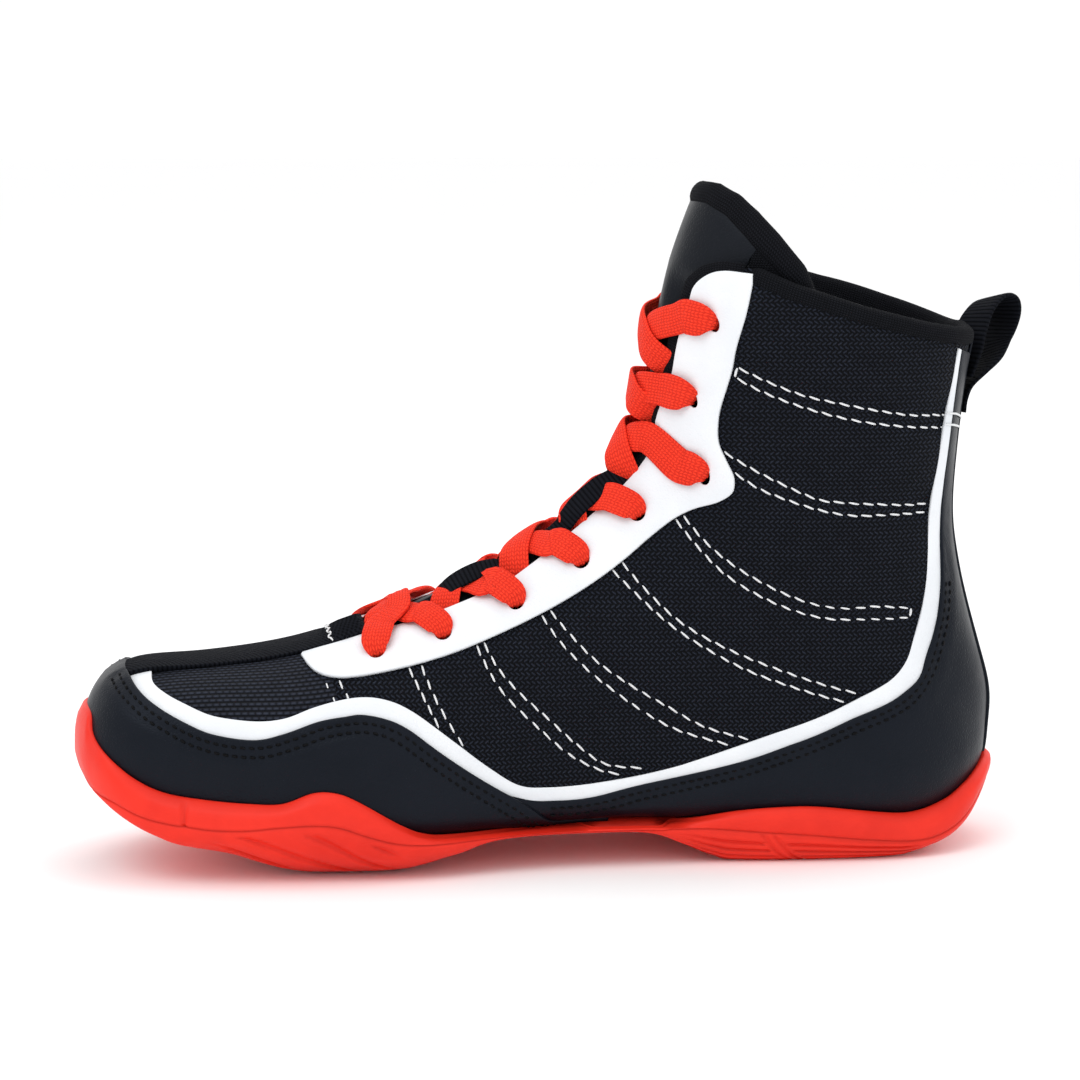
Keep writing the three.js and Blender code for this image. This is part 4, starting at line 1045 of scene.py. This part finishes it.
def collar():
    """Knitted edge, folded over the collar's padding, and its narrow run down both throat edges."""
    across = np.array([(-2.5, 0.1), (-2.3, 0.7), (-1.5, 1.05), (-0.4, 1.1), (0.7, 0.95), (1.8, 0.4),
                       (2.5, -0.7), (2.7, -1.9), (2.4, -3.1), (1.5, -4.0), (0.2, -4.5), (-2.4, -4.7),
                       (-5.2, -4.5), (-6.0, -3.9), (-5.4, -3.2), (-3.0, -2.4), (-3.4, -1.0)])
    t = np.linspace(0.235, 1.765, 260)
    u0 = collar_u(t) - 0.12
    pitch = pitch_at(u0, t, 0.2)
    ends = ease(0, 1, np.minimum(np.arange(260), 259 - np.arange(260)) / 10)
    shape = smooth(across, 3, closed=True)
    middle = -1.8                      # both ways, the point the ends draw in to
    rings = []
    for along, depth in shape:
        a, d = (middle + (reach - middle) * (0.25 + 0.75 * ends) for reach in (along, depth))
        rings.append(on_last(u0 + a / pitch, t, d))
    rings = np.stack(rings, 1)
    uv = np.stack([np.repeat(arc(on_last(u0, t)), len(shape)), np.tile(arc(shape), len(t))], 1)
    make("collar_edge_knit", rings.reshape(-1, 3), tube_faces(len(t), len(shape)), "knit_trim", uv=uv,
         nodes=("collar_binding",), slot="knit")
    for side, name in SIDES:
        u = np.linspace(12.3, 17.95, 90)
        inner = np.interp(u, *zip(*FACING_INNER[1:]))
        middle_t = side * (inner - BINDING_T(u) * 0.45)
        points = on_last(u, middle_t, -0.1)
        around = on_last(u, middle_t + 0.01) - on_last(u, middle_t - 0.01)
        sweep(f"throat_binding_{name}", points, around, BINDING_T(u) * girth(u, middle_t) + 1.0,
              2.0, "knit_trim", band_profile(14, 2.6), slot="knit")


def tape():
    """Ribbed tape from the toe to the throat, gathered where it ends."""
    half = 0.108
    edges = joined(straight((3.3, -half), (6.9, -half)), ring_run(6.9, -half, half, 12),
                   straight((6.9, half), (3.3, half)))

    def relief(_, ut):
        gathered = ease(6.42, 6.6, ut[:, 0])
        return gathered * (0.45 * np.sin(ut[:, 0] * 62) + 0.4) - 0.5 * np.exp(-(((ut[:, 0] - 6.44) / 0.05) ** 2))
    panel("toe_tape_ribbed", edges, 0.05, lambda u, t: 1.15 + 1.15 * ease(5.0, 3.8, u), "ribbed_tape",
          grid=1.2, rim=0.3, relief=relief, uv="slant", nodes=("toe_tape",), slot="webbing")


vamp()
quarters()
facings()
stripes()
overlays()
inside_pieces()
collar()
tape()

# ---- stitching -----------------------------------------------------------------------------------
WHITE = dict(pitch=4.75, length=3.75, radius=0.33)
BLACK = dict(pitch=2.7, length=1.9, radius=0.4)


def sew():
    """Every row of stitches: white quilting, black edges, and the tacks."""
    for side, name in SIDES:
        quilting = Bundle()
        for row in QUILTING:
            stitch_row(quilting, row, -0.4, side=side, **WHITE)
        for a, b in (((13.5, 0.69), (13.64, 0.69)), ((15.17, 0.257), (15.44, 0.262))):
            gap = float(np.linalg.norm(on_last(a[0], a[1]) - on_last(b[0], b[1])))
            stitch_row(quilting, (a, b), -0.35, gap * 0.98, gap * 0.96, 0.42, side=side)
        for way in ([(16.63, 0.8), (16.74, 0.85), (16.8, 0.9), (16.84, 0.94)],
                    [(16.8, 0.802), (16.9, 0.85), (16.94, 0.9), (16.96, 0.94)]):
            gap = float(np.linalg.norm(on_last(*way[0]) - on_last(*way[-1])))
            stitch_row(quilting, way, 1.5, gap * 1.02, gap, 0.36, side=side)
        quilting.make(f"quilting_thread_{name}", "white_thread", slot="white")
        edges = Bundle()
        for row in TOE_ROWS[:2] if side < 0 else TOE_ROWS[2:]:
            stitch_row(edges, row[::3], lambda u, t: toe_top(u, t) - 0.2, **BLACK)
        for row in HEEL_ROWS[:2] if side < 0 else HEEL_ROWS[2:]:
            stitch_row(edges, row[::3], OVERLAY_TOP - 0.4, **BLACK)
        collar_row = [(17.8, 0.3), (17.76, 0.4), (17.8, 0.5), (17.85, 0.62), (17.9, 0.72), (17.94, 0.8)]
        stitch_row(edges, collar_row, 0.1, side=side, pitch=3.2, length=2.5, radius=0.3)
        edges.make(f"edge_thread_{name}", "black_thread", slot="leather")
    tack = Bundle()
    zigzag = [(6.47 + 0.02 * (-1) ** k, t) for k, t in enumerate(np.linspace(-0.1, 0.1, 9))]
    stitch_row(tack, zigzag, 1.2, 2.6, 2.6, 0.32)
    tack.make("tape_tack_thread", "white_thread", slot="white")


sew()

# ---- tongue --------------------------------------------------------------------------------------
PIVOT = np.array([-101.4, 0.0, 189.6])
FOLD_WAY = unit(np.array([-6.0, 0.0, 10.0]))
FLAP_TOP = lerp([(0, 19.67), (0.08, 19.7), (0.15, 19.58), (0.22, 19.29), (0.3, 18.86), (0.38, 18.34),
                 (0.46, 17.65)])
FLAP_SEAM = 0.42                       # sections from the flap's top down to the panels' edge in the roll


def tongue_depth(u, t):
    low = -0.4 - 5.8 * ease(0.015, 0.09, np.abs(t))
    high = -0.2 - 4.4 * ease(0.02, 0.22, np.abs(t))
    return low + (high - low) * ease(16.2, 17.6, u)


def fold_forward(piece):
    """Bakes the piece's placement into its mesh."""
    tuple(metres(PIVOT - 9 * FOLD_WAY))
    tuple(metres(PIVOT + 9 * FOLD_WAY))
    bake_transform(piece)


def tongue_panel(name, half, low, high, look, node, **more):
    t = np.linspace(-half(19), half(19), 40)
    top = np.stack([FLAP_TOP(np.abs(t)) - FLAP_SEAM, t], 1)
    sides = [np.stack([u, s * half(u)], 1) for s, u in ((1, np.linspace(18.3, 6.9, 30)),
                                                        (-1, np.linspace(6.9, 18.3, 30)))]
    runs = joined(top, sides[0], sides[1])
    piece = panel(name, runs, lambda u, t: tongue_depth(u, t) + low, lambda u, t: tongue_depth(u, t) + high,
                  look, body=None, nodes=node, spacing=2.0, uv="front", **more)
    fold_forward(piece)
    return piece


def tongue():
    cover = lerp([(6.9, 0.2), (12, 0.23), (17.5, 0.24), (18.4, 0.25), (19.5, 0.27)])
    back = lerp([(6.9, 0.22), (12, 0.26), (17.5, 0.28), (18.4, 0.34), (19.5, 0.36)])
    tongue_panel("tongue_cover_leather", cover, -0.9, 0.0, "tongue_leather",
                 ("tongue_face", "flap_cover"), grid=2.2, rim=0.3, slot="leather")
    foam = tongue_panel("tongue_padding", back, -3.5, -1.0, "padding_foam",
                        ("tongue_foam", "flap_foam"), grid=3.4, rim=0.8, slot="foam")
    tongue_panel("tongue_lining_knit", back, -4.6, -3.6, "lining_knit",
                 ("tongue_lining", "flap_lining"), grid=3.4, rim=0.3, slot="lining")
    for side, name in SIDES:
        edge = np.linspace(0.25, 0.37, 12)
        wing = joined(np.stack([FLAP_TOP(edge) - 0.3, side * edge], 1),
                      straight((17.6, side * 0.37), (17.6, side * 0.25)))
        fold_forward(panel(f"tongue_wing_{name}_knit", wing, lambda u, t: tongue_depth(u, t) - 1.2,
                           lambda u, t: tongue_depth(u, t) - 0.15, "knit_trim", body=None, grid=2.4, rim=0.3,
                           uv="front"))
    t = np.linspace(-0.455, 0.455, 110)
    u0 = FLAP_TOP(np.abs(t)) - 0.26
    ends = 0.35 + 0.65 * ease(0, 1, np.minimum(np.arange(110), 109 - np.arange(110)) / 9)
    pitch = pitch_at(u0, t, 0.2)
    angle = np.linspace(0, math.tau, 22, endpoint=False)
    rings = np.stack([on_last(u0 + (4.3 + 1.2 * ease(0.1, 0.3, np.abs(t))) * ends * math.cos(a) / pitch, t,
                              tongue_depth(u0, t) - 2.4 + 3.3 * ends * math.sin(a)) for a in angle], 1)
    uv = np.stack([np.repeat(arc(on_last(u0, t)), 22), np.tile(angle * 3.2, 110)], 1)
    roll = make("tongue_roll_knit", rings.reshape(-1, 3), tube_faces(110, 22), "knit_trim", body=None, uv=uv,
                nodes=("flap_roll",), slot="knit")
    fold_forward(roll)


tongue()

# ---- lacing --------------------------------------------------------------------------------------
LACE_OVER = 2.45
LACE_UNDER = -2.6
OVER_CROSS, UNDER_CROSS = 2.4, 0.8
SLANTS = (0.0, 0.6, 0.62, 0.6, 0.6, 0.5, 0.42, 0.3)


def eyelet_stops(eyelet, side, leave, slant):
    """Down through an eyelet and away again; slant is how far up the boot the lace runs for each
    millimetre across as it arrives."""
    u, t = eyelet
    reach = float(girth(u, side * t))
    pitch = float(pitch_at(u, side * t, 0.3))

    def along(mm):
        return side * (t + mm / reach)
    wide = 1.2 * float(ease(11, 12.4, u))
    arch = 0.1 if u < 7 and side > 0 else 1.0
    dive = [(-9.5, LACE_OVER + 0.35 * arch, 9.4 + wide), (-6.5, LACE_OVER + 0.8 * arch, 9.5 + wide),
            (-3.6, LACE_OVER + 0.9 * arch, 9.2 + wide), (-1.0, LACE_OVER + 0.3 * arch, 8.4),
            (-0.1, 1.5, 6.0), (0.3, -0.3, 4.4)]
    leaving = [(0.6, -1.9, 4.8), (1.4, LACE_UNDER, 5.6), (4.4, LACE_UNDER, 7.6)]
    return [(u + min(mm + 1, 0) * slant / pitch, along(mm), depth, width) for mm, depth, width in dive] \
        + [(u, along(leave * mm), depth, width) for mm, depth, width in leaving]


def crossing_stops(start, end, side, slant):
    """From under one facing, across the tongue and over the other facing."""
    (u0, t0), (u1, t1) = start, end
    pitch = float(pitch_at(u1, -side * t1, 0.3))
    from_t = side * (t0 - 4.4 / float(girth(u0, side * t0)))
    u1 = u1 - 8.5 * slant / pitch
    level = (OVER_CROSS if side < 0 else UNDER_CROSS) - (1.6 if start in EYELETS[1:4:2] else 0) \
        + 2.4 * float(ease(8.5, 11, u0)) - 0.9 * float(ease(12.6, 14, u0))
    near = side * float(facing_inner(0.85 * u0 + 0.15 * u1))
    far = -side * float(facing_inner(0.2 * u0 + 0.8 * u1))
    places = [((from_t + near) / 2, LACE_UNDER, 0.02), (near * 0.92, LACE_UNDER + 0.3, 0.08),
              (near * 0.5, level - 0.3, 0.24), (0.0, level, 0.48), (far * 0.55, max(level, 0.0), 0.72),
              (far * 0.95, LACE_OVER - 0.1, 0.9)]
    return [(u0 + (u1 - u0) * share, t, depth, 9.8) for t, depth, share in places]


def lace_side(first):
    stops = []
    for i, eyelet in enumerate(EYELETS):
        side = first if i % 2 == 0 else -first
        last = i == len(EYELETS) - 1
        stops += eyelet_stops(eyelet, side, 1 if last else -1, -0.45 if i == 0 else SLANTS[i])
        if not last:
            stops += crossing_stops(eyelet, EYELETS[i + 1], side, SLANTS[i + 1])
    u = EYELETS[-1][0]
    return stops + [(u - 0.25 * i, side * t, depth, 7.0)
                    for i, (t, depth) in enumerate(((0.29, -5.0), (0.36, -5.2), (0.43, -5.2), (0.5, -5.3)))]


def lace():
    """One band from tip to tip, and the two tips."""
    bar = [(7.42 - 14 * t * t, t, LACE_OVER + depth, 6.6 + 22 * abs(t))
           for t, depth in ((-0.08, 0.6), (-0.04, 1.3), (-0.01, 1.5), (0.03, 0.8), (0.08, 0.0))]
    stops = np.array([*lace_side(-1)[::-1], *bar, *lace_side(1)])
    keys = smooth(stops, 5)
    points = on_last(keys[:, 0], keys[:, 1], keys[:, 2])
    normal = normal_at(keys[:, 0], keys[:, 1])
    even = spread(np.concatenate([points, normal, keys[:, 3:]], 1), points, 0.7)
    points, normal, width = even[:, :3], unit(even[:, 3:6]), even[:, 6]
    soften(points, 3)
    tangent = unit(np.gradient(points, axis=0))
    across = np.cross(normal, tangent)
    flat = np.linalg.norm(across, axis=1)
    for k in range(1, len(across)):
        if flat[k] < 0.6:
            across[k] = across[k - 1]
        elif (across[k] * across[k - 1]).sum() < 0:
            across[k] *= -1
        across[k] = unit(across[k] - tangent[k] * (across[k] * tangent[k]).sum())
    for _ in range(6):
        across[1:-1] = unit(across[:-2] + across[1:-1] + across[2:])
    for _ in range(4):
        width[1:-1] = (width[:-2] + width[1:-1] + width[2:]) / 3
    thickness = 1.75 * (9.0 / width) ** 0.55
    tight = ease(8.4, 5.4, width)
    profile = band_profile(26, 2.9)
    top = np.sign(profile[:, 1]) * (np.abs(profile[:, 0]) < 0.9)
    folds = tight[:, None] * 0.22 * np.cos(profile[:, 0] * 8.5) * top - 0.3 * np.abs(profile[:, 0]) ** 2.5
    sweep("lace_band", points, across, width, thickness, "lace_weave", profile, folds,
          nodes=("lace",), slot="lace")
    for side, name in SIDES:
        run = np.linspace(-1.5, 22, 26)
        u_end = EYELETS[-1][0] - 0.75
        tip = on_last(u_end - run * 0.02, side * (0.5 + run / float(girth(u_end, side * 0.5))), -5.6)
        size = 3.0 * np.interp(run, [-1.5, 0, 1, 21, 21.6, 22], [0.9, 1, 1, 0.96, 0.8, 0.45])
        sweep(f"lace_tip_{name}", tip, np.array([0, 0, 1.0]), size, size, "lace_tip", band_profile(14, 2.0),
              nodes=(f"aglet_{name}",), slot="aglet")


lace()


def keeper():
    """Ribbed tape that weaves over every second crossing of the lace."""
    stops = [(6.9, -0.2), (7.15, -1.2)]
    for i in (1, 3):
        middle = (EYELETS[i][0] + EYELETS[i + 1][0]) / 2
        pitch = float(pitch_at(middle, 0, 0.5))
        stops += [(middle + mm / pitch, depth + 1.2 * (i == 3)) for mm, depth in (
            (-14, -2.0), (-9.5, 0.1), (-5, 1.8), (0, 2.3), (5, 1.8), (9.5, 0.1), (14, -2.0))]
    stops = np.array(stops)
    keys = smooth(stops[stops[:, 0].argsort()], 8)
    lean = -0.045 * ease(6.9, 7.6, keys[:, 0])
    points = on_last(keys[:, 0], lean, keys[:, 1])
    even = spread(np.concatenate([points, keys[:, :1], lean[:, None]], 1), points, 0.6)
    points = even[:, :3]
    around = on_last(even[:, 3], even[:, 4] + 0.01) - on_last(even[:, 3], even[:, 4] - 0.01)
    up = normal_at(even[:, 3], even[:, 4])
    across = unit(around) + 0.3 * up * ease(7.0, 7.6, even[:, 3])[:, None]
    sweep("lace_keeper_tape", points, across, 7.4, 1.2, "ribbed_tape",
          band_profile(16, 4.0), nodes=("lace_keeper",), slot="webbing")


keeper()

# ---- pull tab ------------------------------------------------------------------------------------
TAB_BAND = [(-9.2, 147.2), (-8.7, 152.5), (-7.0, 159.6), (-3.4, 166.5), (1.2, 170.8), (5.2, 169.4),
            (6.4, 164.8), (4.9, 158.6), (0.9, 152.6), (-4.4, 148.2), (-8.2, 144.4), (-9.9, 140), (-10.4, 136)]
TAB_TURN = math.radians(34)


def pull_tab():
    """A loop of webbing sewn to the back, turned a little to the outer side."""
    dense = smooth(TAB_BAND, 10)
    points = np.stack([dense[:, 0], 0 * dense[:, 0], dense[:, 1]], 1)
    even = spread(points, points, 0.45)
    turn = ease(143, 158, even[:, 2]) * TAB_TURN
    points = even.copy()
    out = even[:, 0] + 8.5 + 3.0 * ease(149, 168, even[:, 2]) * ease(-5, 5, even[:, 0])
    points[:, 0] = -8.5 + out * np.cos(turn)
    points[:, 1] = out * np.sin(turn)
    across = np.stack([-np.sin(turn), np.cos(turn), -0.4 * turn], 1)
    piece = sweep("pull_tab_webbing", points, across, 13.6, 1.4, "ribbed_tape",
                  band_profile(20, 4.5), body=None, nodes=("pull_tab", "pull_tab_strap"),
                  slot="webbing")
    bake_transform(piece)


pull_tab()

# ---- outsole -------------------------------------------------------------------------------------
SOLE_PLAN = [(-289, -7), (-287, -18), (-279, -32), (-264, -41), (-240, -46.5), (-212, -48), (-184, -45),
             (-156, -38), (-125, -35), (-92, -35.5), (-62, -37), (-34, -35.5), (-14, -28), (-2.5, -13),
             (0, 0), (-2.5, 13), (-14, 28), (-36, 36.5), (-66, 39.5), (-100, 41.5), (-140, 46),
             (-175, 50), (-206, 51), (-236, 45), (-262, 32), (-279, 16), (-287, 3)]
SOLE_LIP = [(-291, 51), (-286, 49.5), (-283.8, 44), (-279.5, 38.5), (-272, 32), (-263, 28), (-250, 26),
            (-237, 25), (-227, 25), (-217.5, 28.2), (-210, 27.8), (-203, 24.7), (-190.5, 17.2), (-183, 13.9),
            (-174, 12.8), (-150, 13.0), (-117, 12.8), (-109, 12.7), (-98, 14.8), (-87.5, 16.8), (-75.6, 17.7),
            (-63.6, 17.8), (-51.4, 16.4), (-40, 14.8), (-32, 14.1), (-24.6, 15.2), (-17.8, 17.4),
            (-11.7, 20.6), (-6.5, 24.4), (-3, 27.2), (1, 29.6)]
SOLE_CREASE = [(-291, 41), (-289, 34), (-284.5, 27.6), (-276.6, 24.3), (-269, 21), (-261, 19.3), (-255, 18.6),
               (-247, 17.7), (-237, 17.7), (-229, 18.4), (-218, 18.9), (-210, 18), (-201.5, 14.9),
               (-193.4, 12.4), (-186, 11.4), (-176, 11.3), (-150, 11.9), (-120, 11.7), (-106, 11.7),
               (-95.4, 11.5), (-80, 10.1), (-64.5, 8.9), (-46, 6.9), (-28.6, 5.8), (-18.4, 8.2),
               (-11.4, 12.6), (-7, 16.6), (-3, 20), (1, 22.5)]
SOLE_GROUND = [(-291, 39), (-289, 35), (-286.5, 30), (-280, 22.8), (-271, 17.4), (-260, 13.0), (-247, 7.9),
               (-235, 3.6), (-225, 1.0), (-214, 0), (-190, 0), (-182, 1.6), (-174, 5.8), (-166, 9.4),
               (-154, 10.9), (-130, 11.0), (-114, 10.2), (-104, 6.6), (-94, 1.8), (-84, 0), (-40, 0), (-30, 0.9),
               (-19, 4.0), (-11, 9.2), (-5, 14.6), (-1.5, 18.6), (1, 21)]


def height_curve(pairs):
    dense = smooth(pairs, 6)
    return lambda x: np.interp(x, dense[:, 0], dense[:, 1])


def last_tree(depth):
    """The last, offset by a depth, for measuring against."""
    u, t = np.arange(0.1, TOP, 0.25), np.arange(-50, 50) * 0.02
    points = on_last(u[:, None], t[None], depth)
    n, m = len(u), len(t)
    faces = [(i * m + j, (i + 1) * m + j, (i + 1) * m + (j + 1) % m, i * m + (j + 1) % m)
             for i in range(n - 1) for j in range(m)]
    return BVHTree.FromPolygons([Vector(p) for p in points.reshape(-1, 3)], faces)


def outsole():
    """Rings down the wall from the lip, over the crease and under the tread, with a cap at each end."""
    lip, crease, ground = (height_curve(p) for p in (SOLE_LIP, SOLE_CREASE, SOLE_GROUND))
    plan = smooth(SOLE_PLAN, 10, closed=True)
    plan = spread(closed_loop(plan), closed_loop(plan), 0.95)[:-1]
    if signed_area(plan) < 0:
        plan = plan[::-1]
    tangent = unit(np.roll(plan, -1, axis=0) - np.roll(plan, 1, axis=0))
    out = np.stack([tangent[:, 1], -tangent[:, 0]], 1)
    tree = last_tree(OVERLAY_TOP)
    x = plan[:, 0]
    z_lip, z_ground = lip(x), ground(x)
    z_crease = np.clip(crease(x), z_ground + 0.9, z_lip - 1.2)
    reach = []
    for point, way, z in zip(plan, out, z_lip):
        hit = tree.ray_cast(Vector((*(point + way * 20), z)), Vector((*(-way), 0)))
        reach.append(hit[3] - 20 if hit[0] else 3.0)
    reach = np.clip(np.array(reach), 0.4, 14.0)
    for _ in range(3):
        reach = (np.roll(reach, 1) + reach + np.roll(reach, -1)) / 3
    up, down = z_lip - z_crease, z_crease - z_ground
    fore = ease(-262, -240, x) * ease(-168, -186, x)
    heel = ease(-108, -90, x) * ease(-10, -26, x)
    tuck = 3.0 + 21.0 * fore + 5.0 * heel
    rings = [
        (reach + 1.4, z_lip - 1.4), (reach + 0.2, z_lip - 0.5), (reach - 0.6, z_lip),
        (np.maximum(reach - 1.3, 0.0), z_lip - 0.2), (np.maximum(reach - 2.0, 0.1), z_lip - 0.8)]
    hug = np.maximum(reach - 2.4, 0)
    rings += [(hug * (1 - s) - 0.7 * math.sin(math.pi * min(1, 1.15 * s)), z_lip - s * up)
              for s in (0.25, 0.4, 0.55, 0.7, 0.86)]
    rings += [(0 * x + 0.3, z_crease + np.minimum(0.4, 0.08 * up)), (0 * x + 1.25, z_crease),
              (0 * x + 0.4, z_crease - np.minimum(0.4, 0.08 * down))]
    for s in np.linspace(0.08, 1, 28):
        turn = math.pi / 2 * s
        inset_by = 0.4 + (tuck - 0.4) * (1 - math.cos(turn))
        z = z_crease - (down + 0 * x) * math.sin(turn)
        level = s * 100
        swirl = 1.5 * ease(-250, -240, x) * ease(-188, -198, x) * ease(0.06, 0.14, s) * ease(0.75, 0.6, s) \
            * ease(0.55, 0.95, np.sin(0.19 * level - 0.31 * (x + 240)))
        slant = x + 80 - level * 0.13
        ribs = 1.25 * heel * ease(0.1, 0.9, np.sin(level / 2.9)) * ease(-26, -36, x) * ease(0.95, 0.85, s)
        between_bars = ease(-2.6, -1.8, slant) * ease(6.1, 5.3, slant)
        bars = ease(1.1, 0.4, np.abs(slant)) + ease(1.1, 0.4, np.abs(slant - 3.5))
        rings.append((inset_by + swirl + ribs * (1 - between_bars) + 0.9 * bars * heel, z))
    rings.append((tuck + 1.2, z_ground))
    seam = 1.3 * ease(0.9, 0.2, np.abs(x + 256))
    points = np.stack([np.concatenate([plan - out * (inset_by + seam * (4 < k < 12))[:, None], z[:, None]], 1)
                       for k, (inset_by, z) in enumerate(rings)])
    n = len(plan)
    for k in range(5, len(rings)):
        for j in range(n):
            near, normal, _, _ = tree.find_nearest(Vector(points[k, j]), 12)
            if near is not None:
                short = 1.4 - (Vector(points[k, j]) - near).dot(normal)
                if short > 0:
                    points[k, j] += np.array(normal) * short
    points[..., 2] = np.maximum(points[..., 2], 0)
    faces = [(i * n + j, i * n + (j + 1) % n, (i + 1) * n + (j + 1) % n, (i + 1) * n + j)
             for i in range(len(rings) - 1) for j in range(n)]
    flat_points = points.reshape(-1, 3)

    def cap(ring, spacing, height, flip):
        nonlocal flat_points, faces
        loop = points[ring][:, :2]
        grid = lattice_in(loop, spacing)
        plane, came_from, triangles = fill([loop], grid)
        extra = [k for k, source in enumerate(came_from) if not 0 <= source < n]
        ids = np.zeros(len(plane), int)
        for k, source in enumerate(came_from):
            if 0 <= source < n:
                ids[k] = ring * n + source
        ids[extra] = len(flat_points) + np.arange(len(extra))
        z = height(plane[extra])
        flat_points = np.concatenate([flat_points, np.concatenate([plane[extra], z[:, None]], 1)])
        chosen = ids[triangles]
        faces += (chosen[:, ::-1] if flip else chosen).tolist()

    def tread(p):
        """Pivot rings under the ball, ribs across the heel."""
        x, y = p[:, 0], p[:, 1]
        ball = np.hypot(x + 205, y - 2)
        rings_cut = ease(0.35, 0.75, np.abs(np.sin(ball / 3.4)))
        ribs = ease(0.3, 0.7, np.abs(np.sin((x + 0.5 * np.abs(y)) / 3.6)))
        solid = np.where(ball < 32, rings_cut, ribs)
        arch = ease(-178, -166, x) * ease(-92, -104, x)
        return ground(x) + 1.1 * (1 - solid) * (1 - arch)

    def bed(p):
        result = []
        for a, b in p:
            hit = tree.ray_cast(Vector((a, b, -30)), Vector((0, 0, 1)))
            result.append(hit[0].z - 0.1 if hit[0] else float(lip(a)) - 3)
        return np.array(result)
    cap(len(rings) - 1, 1.9, tread, True)
    cap(0, 5.0, bed, False)
    uv = flat_points[:, :2]
    make("outsole_rubber", flat_points, faces, "sole_rubber", uv=uv, nodes=("outsole",), slot="rubber")


outsole()

# ---- hidden pieces that keep their solids --------------------------------------------------------
for node, look in (("insole_board", "fibre_board"), ("midsole", "eva_foam")):
    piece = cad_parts[node]
    if piece.material_slots:
        piece.material_slots[0].material = LOOKS[look]
    else:
        piece.data.materials.append(LOOKS[look])

# ---- floor and light -----------------------------------------------------------------------------
floor_look = Look("floor_paper", 0.85, Specular_IOR_Level=0.15)
floor_look.colour((0.972, 0.972, 0.975), (0.98, 0.98, 0.982), floor_look.noise(400.0, 2.0))
floor_mesh = bpy.data.meshes.new("floor")
FLOOR_HALF = 12.0
floor_mesh.from_pydata([(x * FLOOR_HALF, y * FLOOR_HALF, 0) for x, y in ((-1, -1), (1, -1), (1, 1), (-1, 1))],
                       [], [(0, 1, 2, 3)])
floor_mesh.materials.append(LOOKS["floor_paper"])
floor = bpy.data.objects.new("floor", floor_mesh)
bpy.context.scene.collection.objects.link(floor)

world = bpy.data.worlds.new("studio")
bpy.context.scene.world = world
world.use_nodes = True
world.node_tree.nodes["Background"].inputs["Color"].default_value = (1.0, 1.0, 1.0, 1)
world.node_tree.nodes["Background"].inputs["Strength"].default_value = 1.025


def area_light(name, place, aim, width, power):
    lamp = bpy.data.lights.new(name, "AREA")
    lamp.shape = "SQUARE"
    lamp.size = width
    lamp.energy = power
    holder = bpy.data.objects.new(name, lamp)
    bpy.context.scene.collection.objects.link(holder)
    holder.location = place
    holder.rotation_euler = (Vector(aim) - Vector(place)).to_track_quat("-Z", "Y").to_euler()


area_light("key", (-0.7, -0.8, 1.4), (0, 0, 0.08), 0.9, 6)
area_light("top", (0.2, 0.3, 1.8), (0, 0, 0.05), 1.2, 5)
area_light("rim", (1.3, 0.5, 0.9), (0, 0, 0.1), 0.7, 3)
bpy.context.scene.view_settings.view_transform = "Standard"
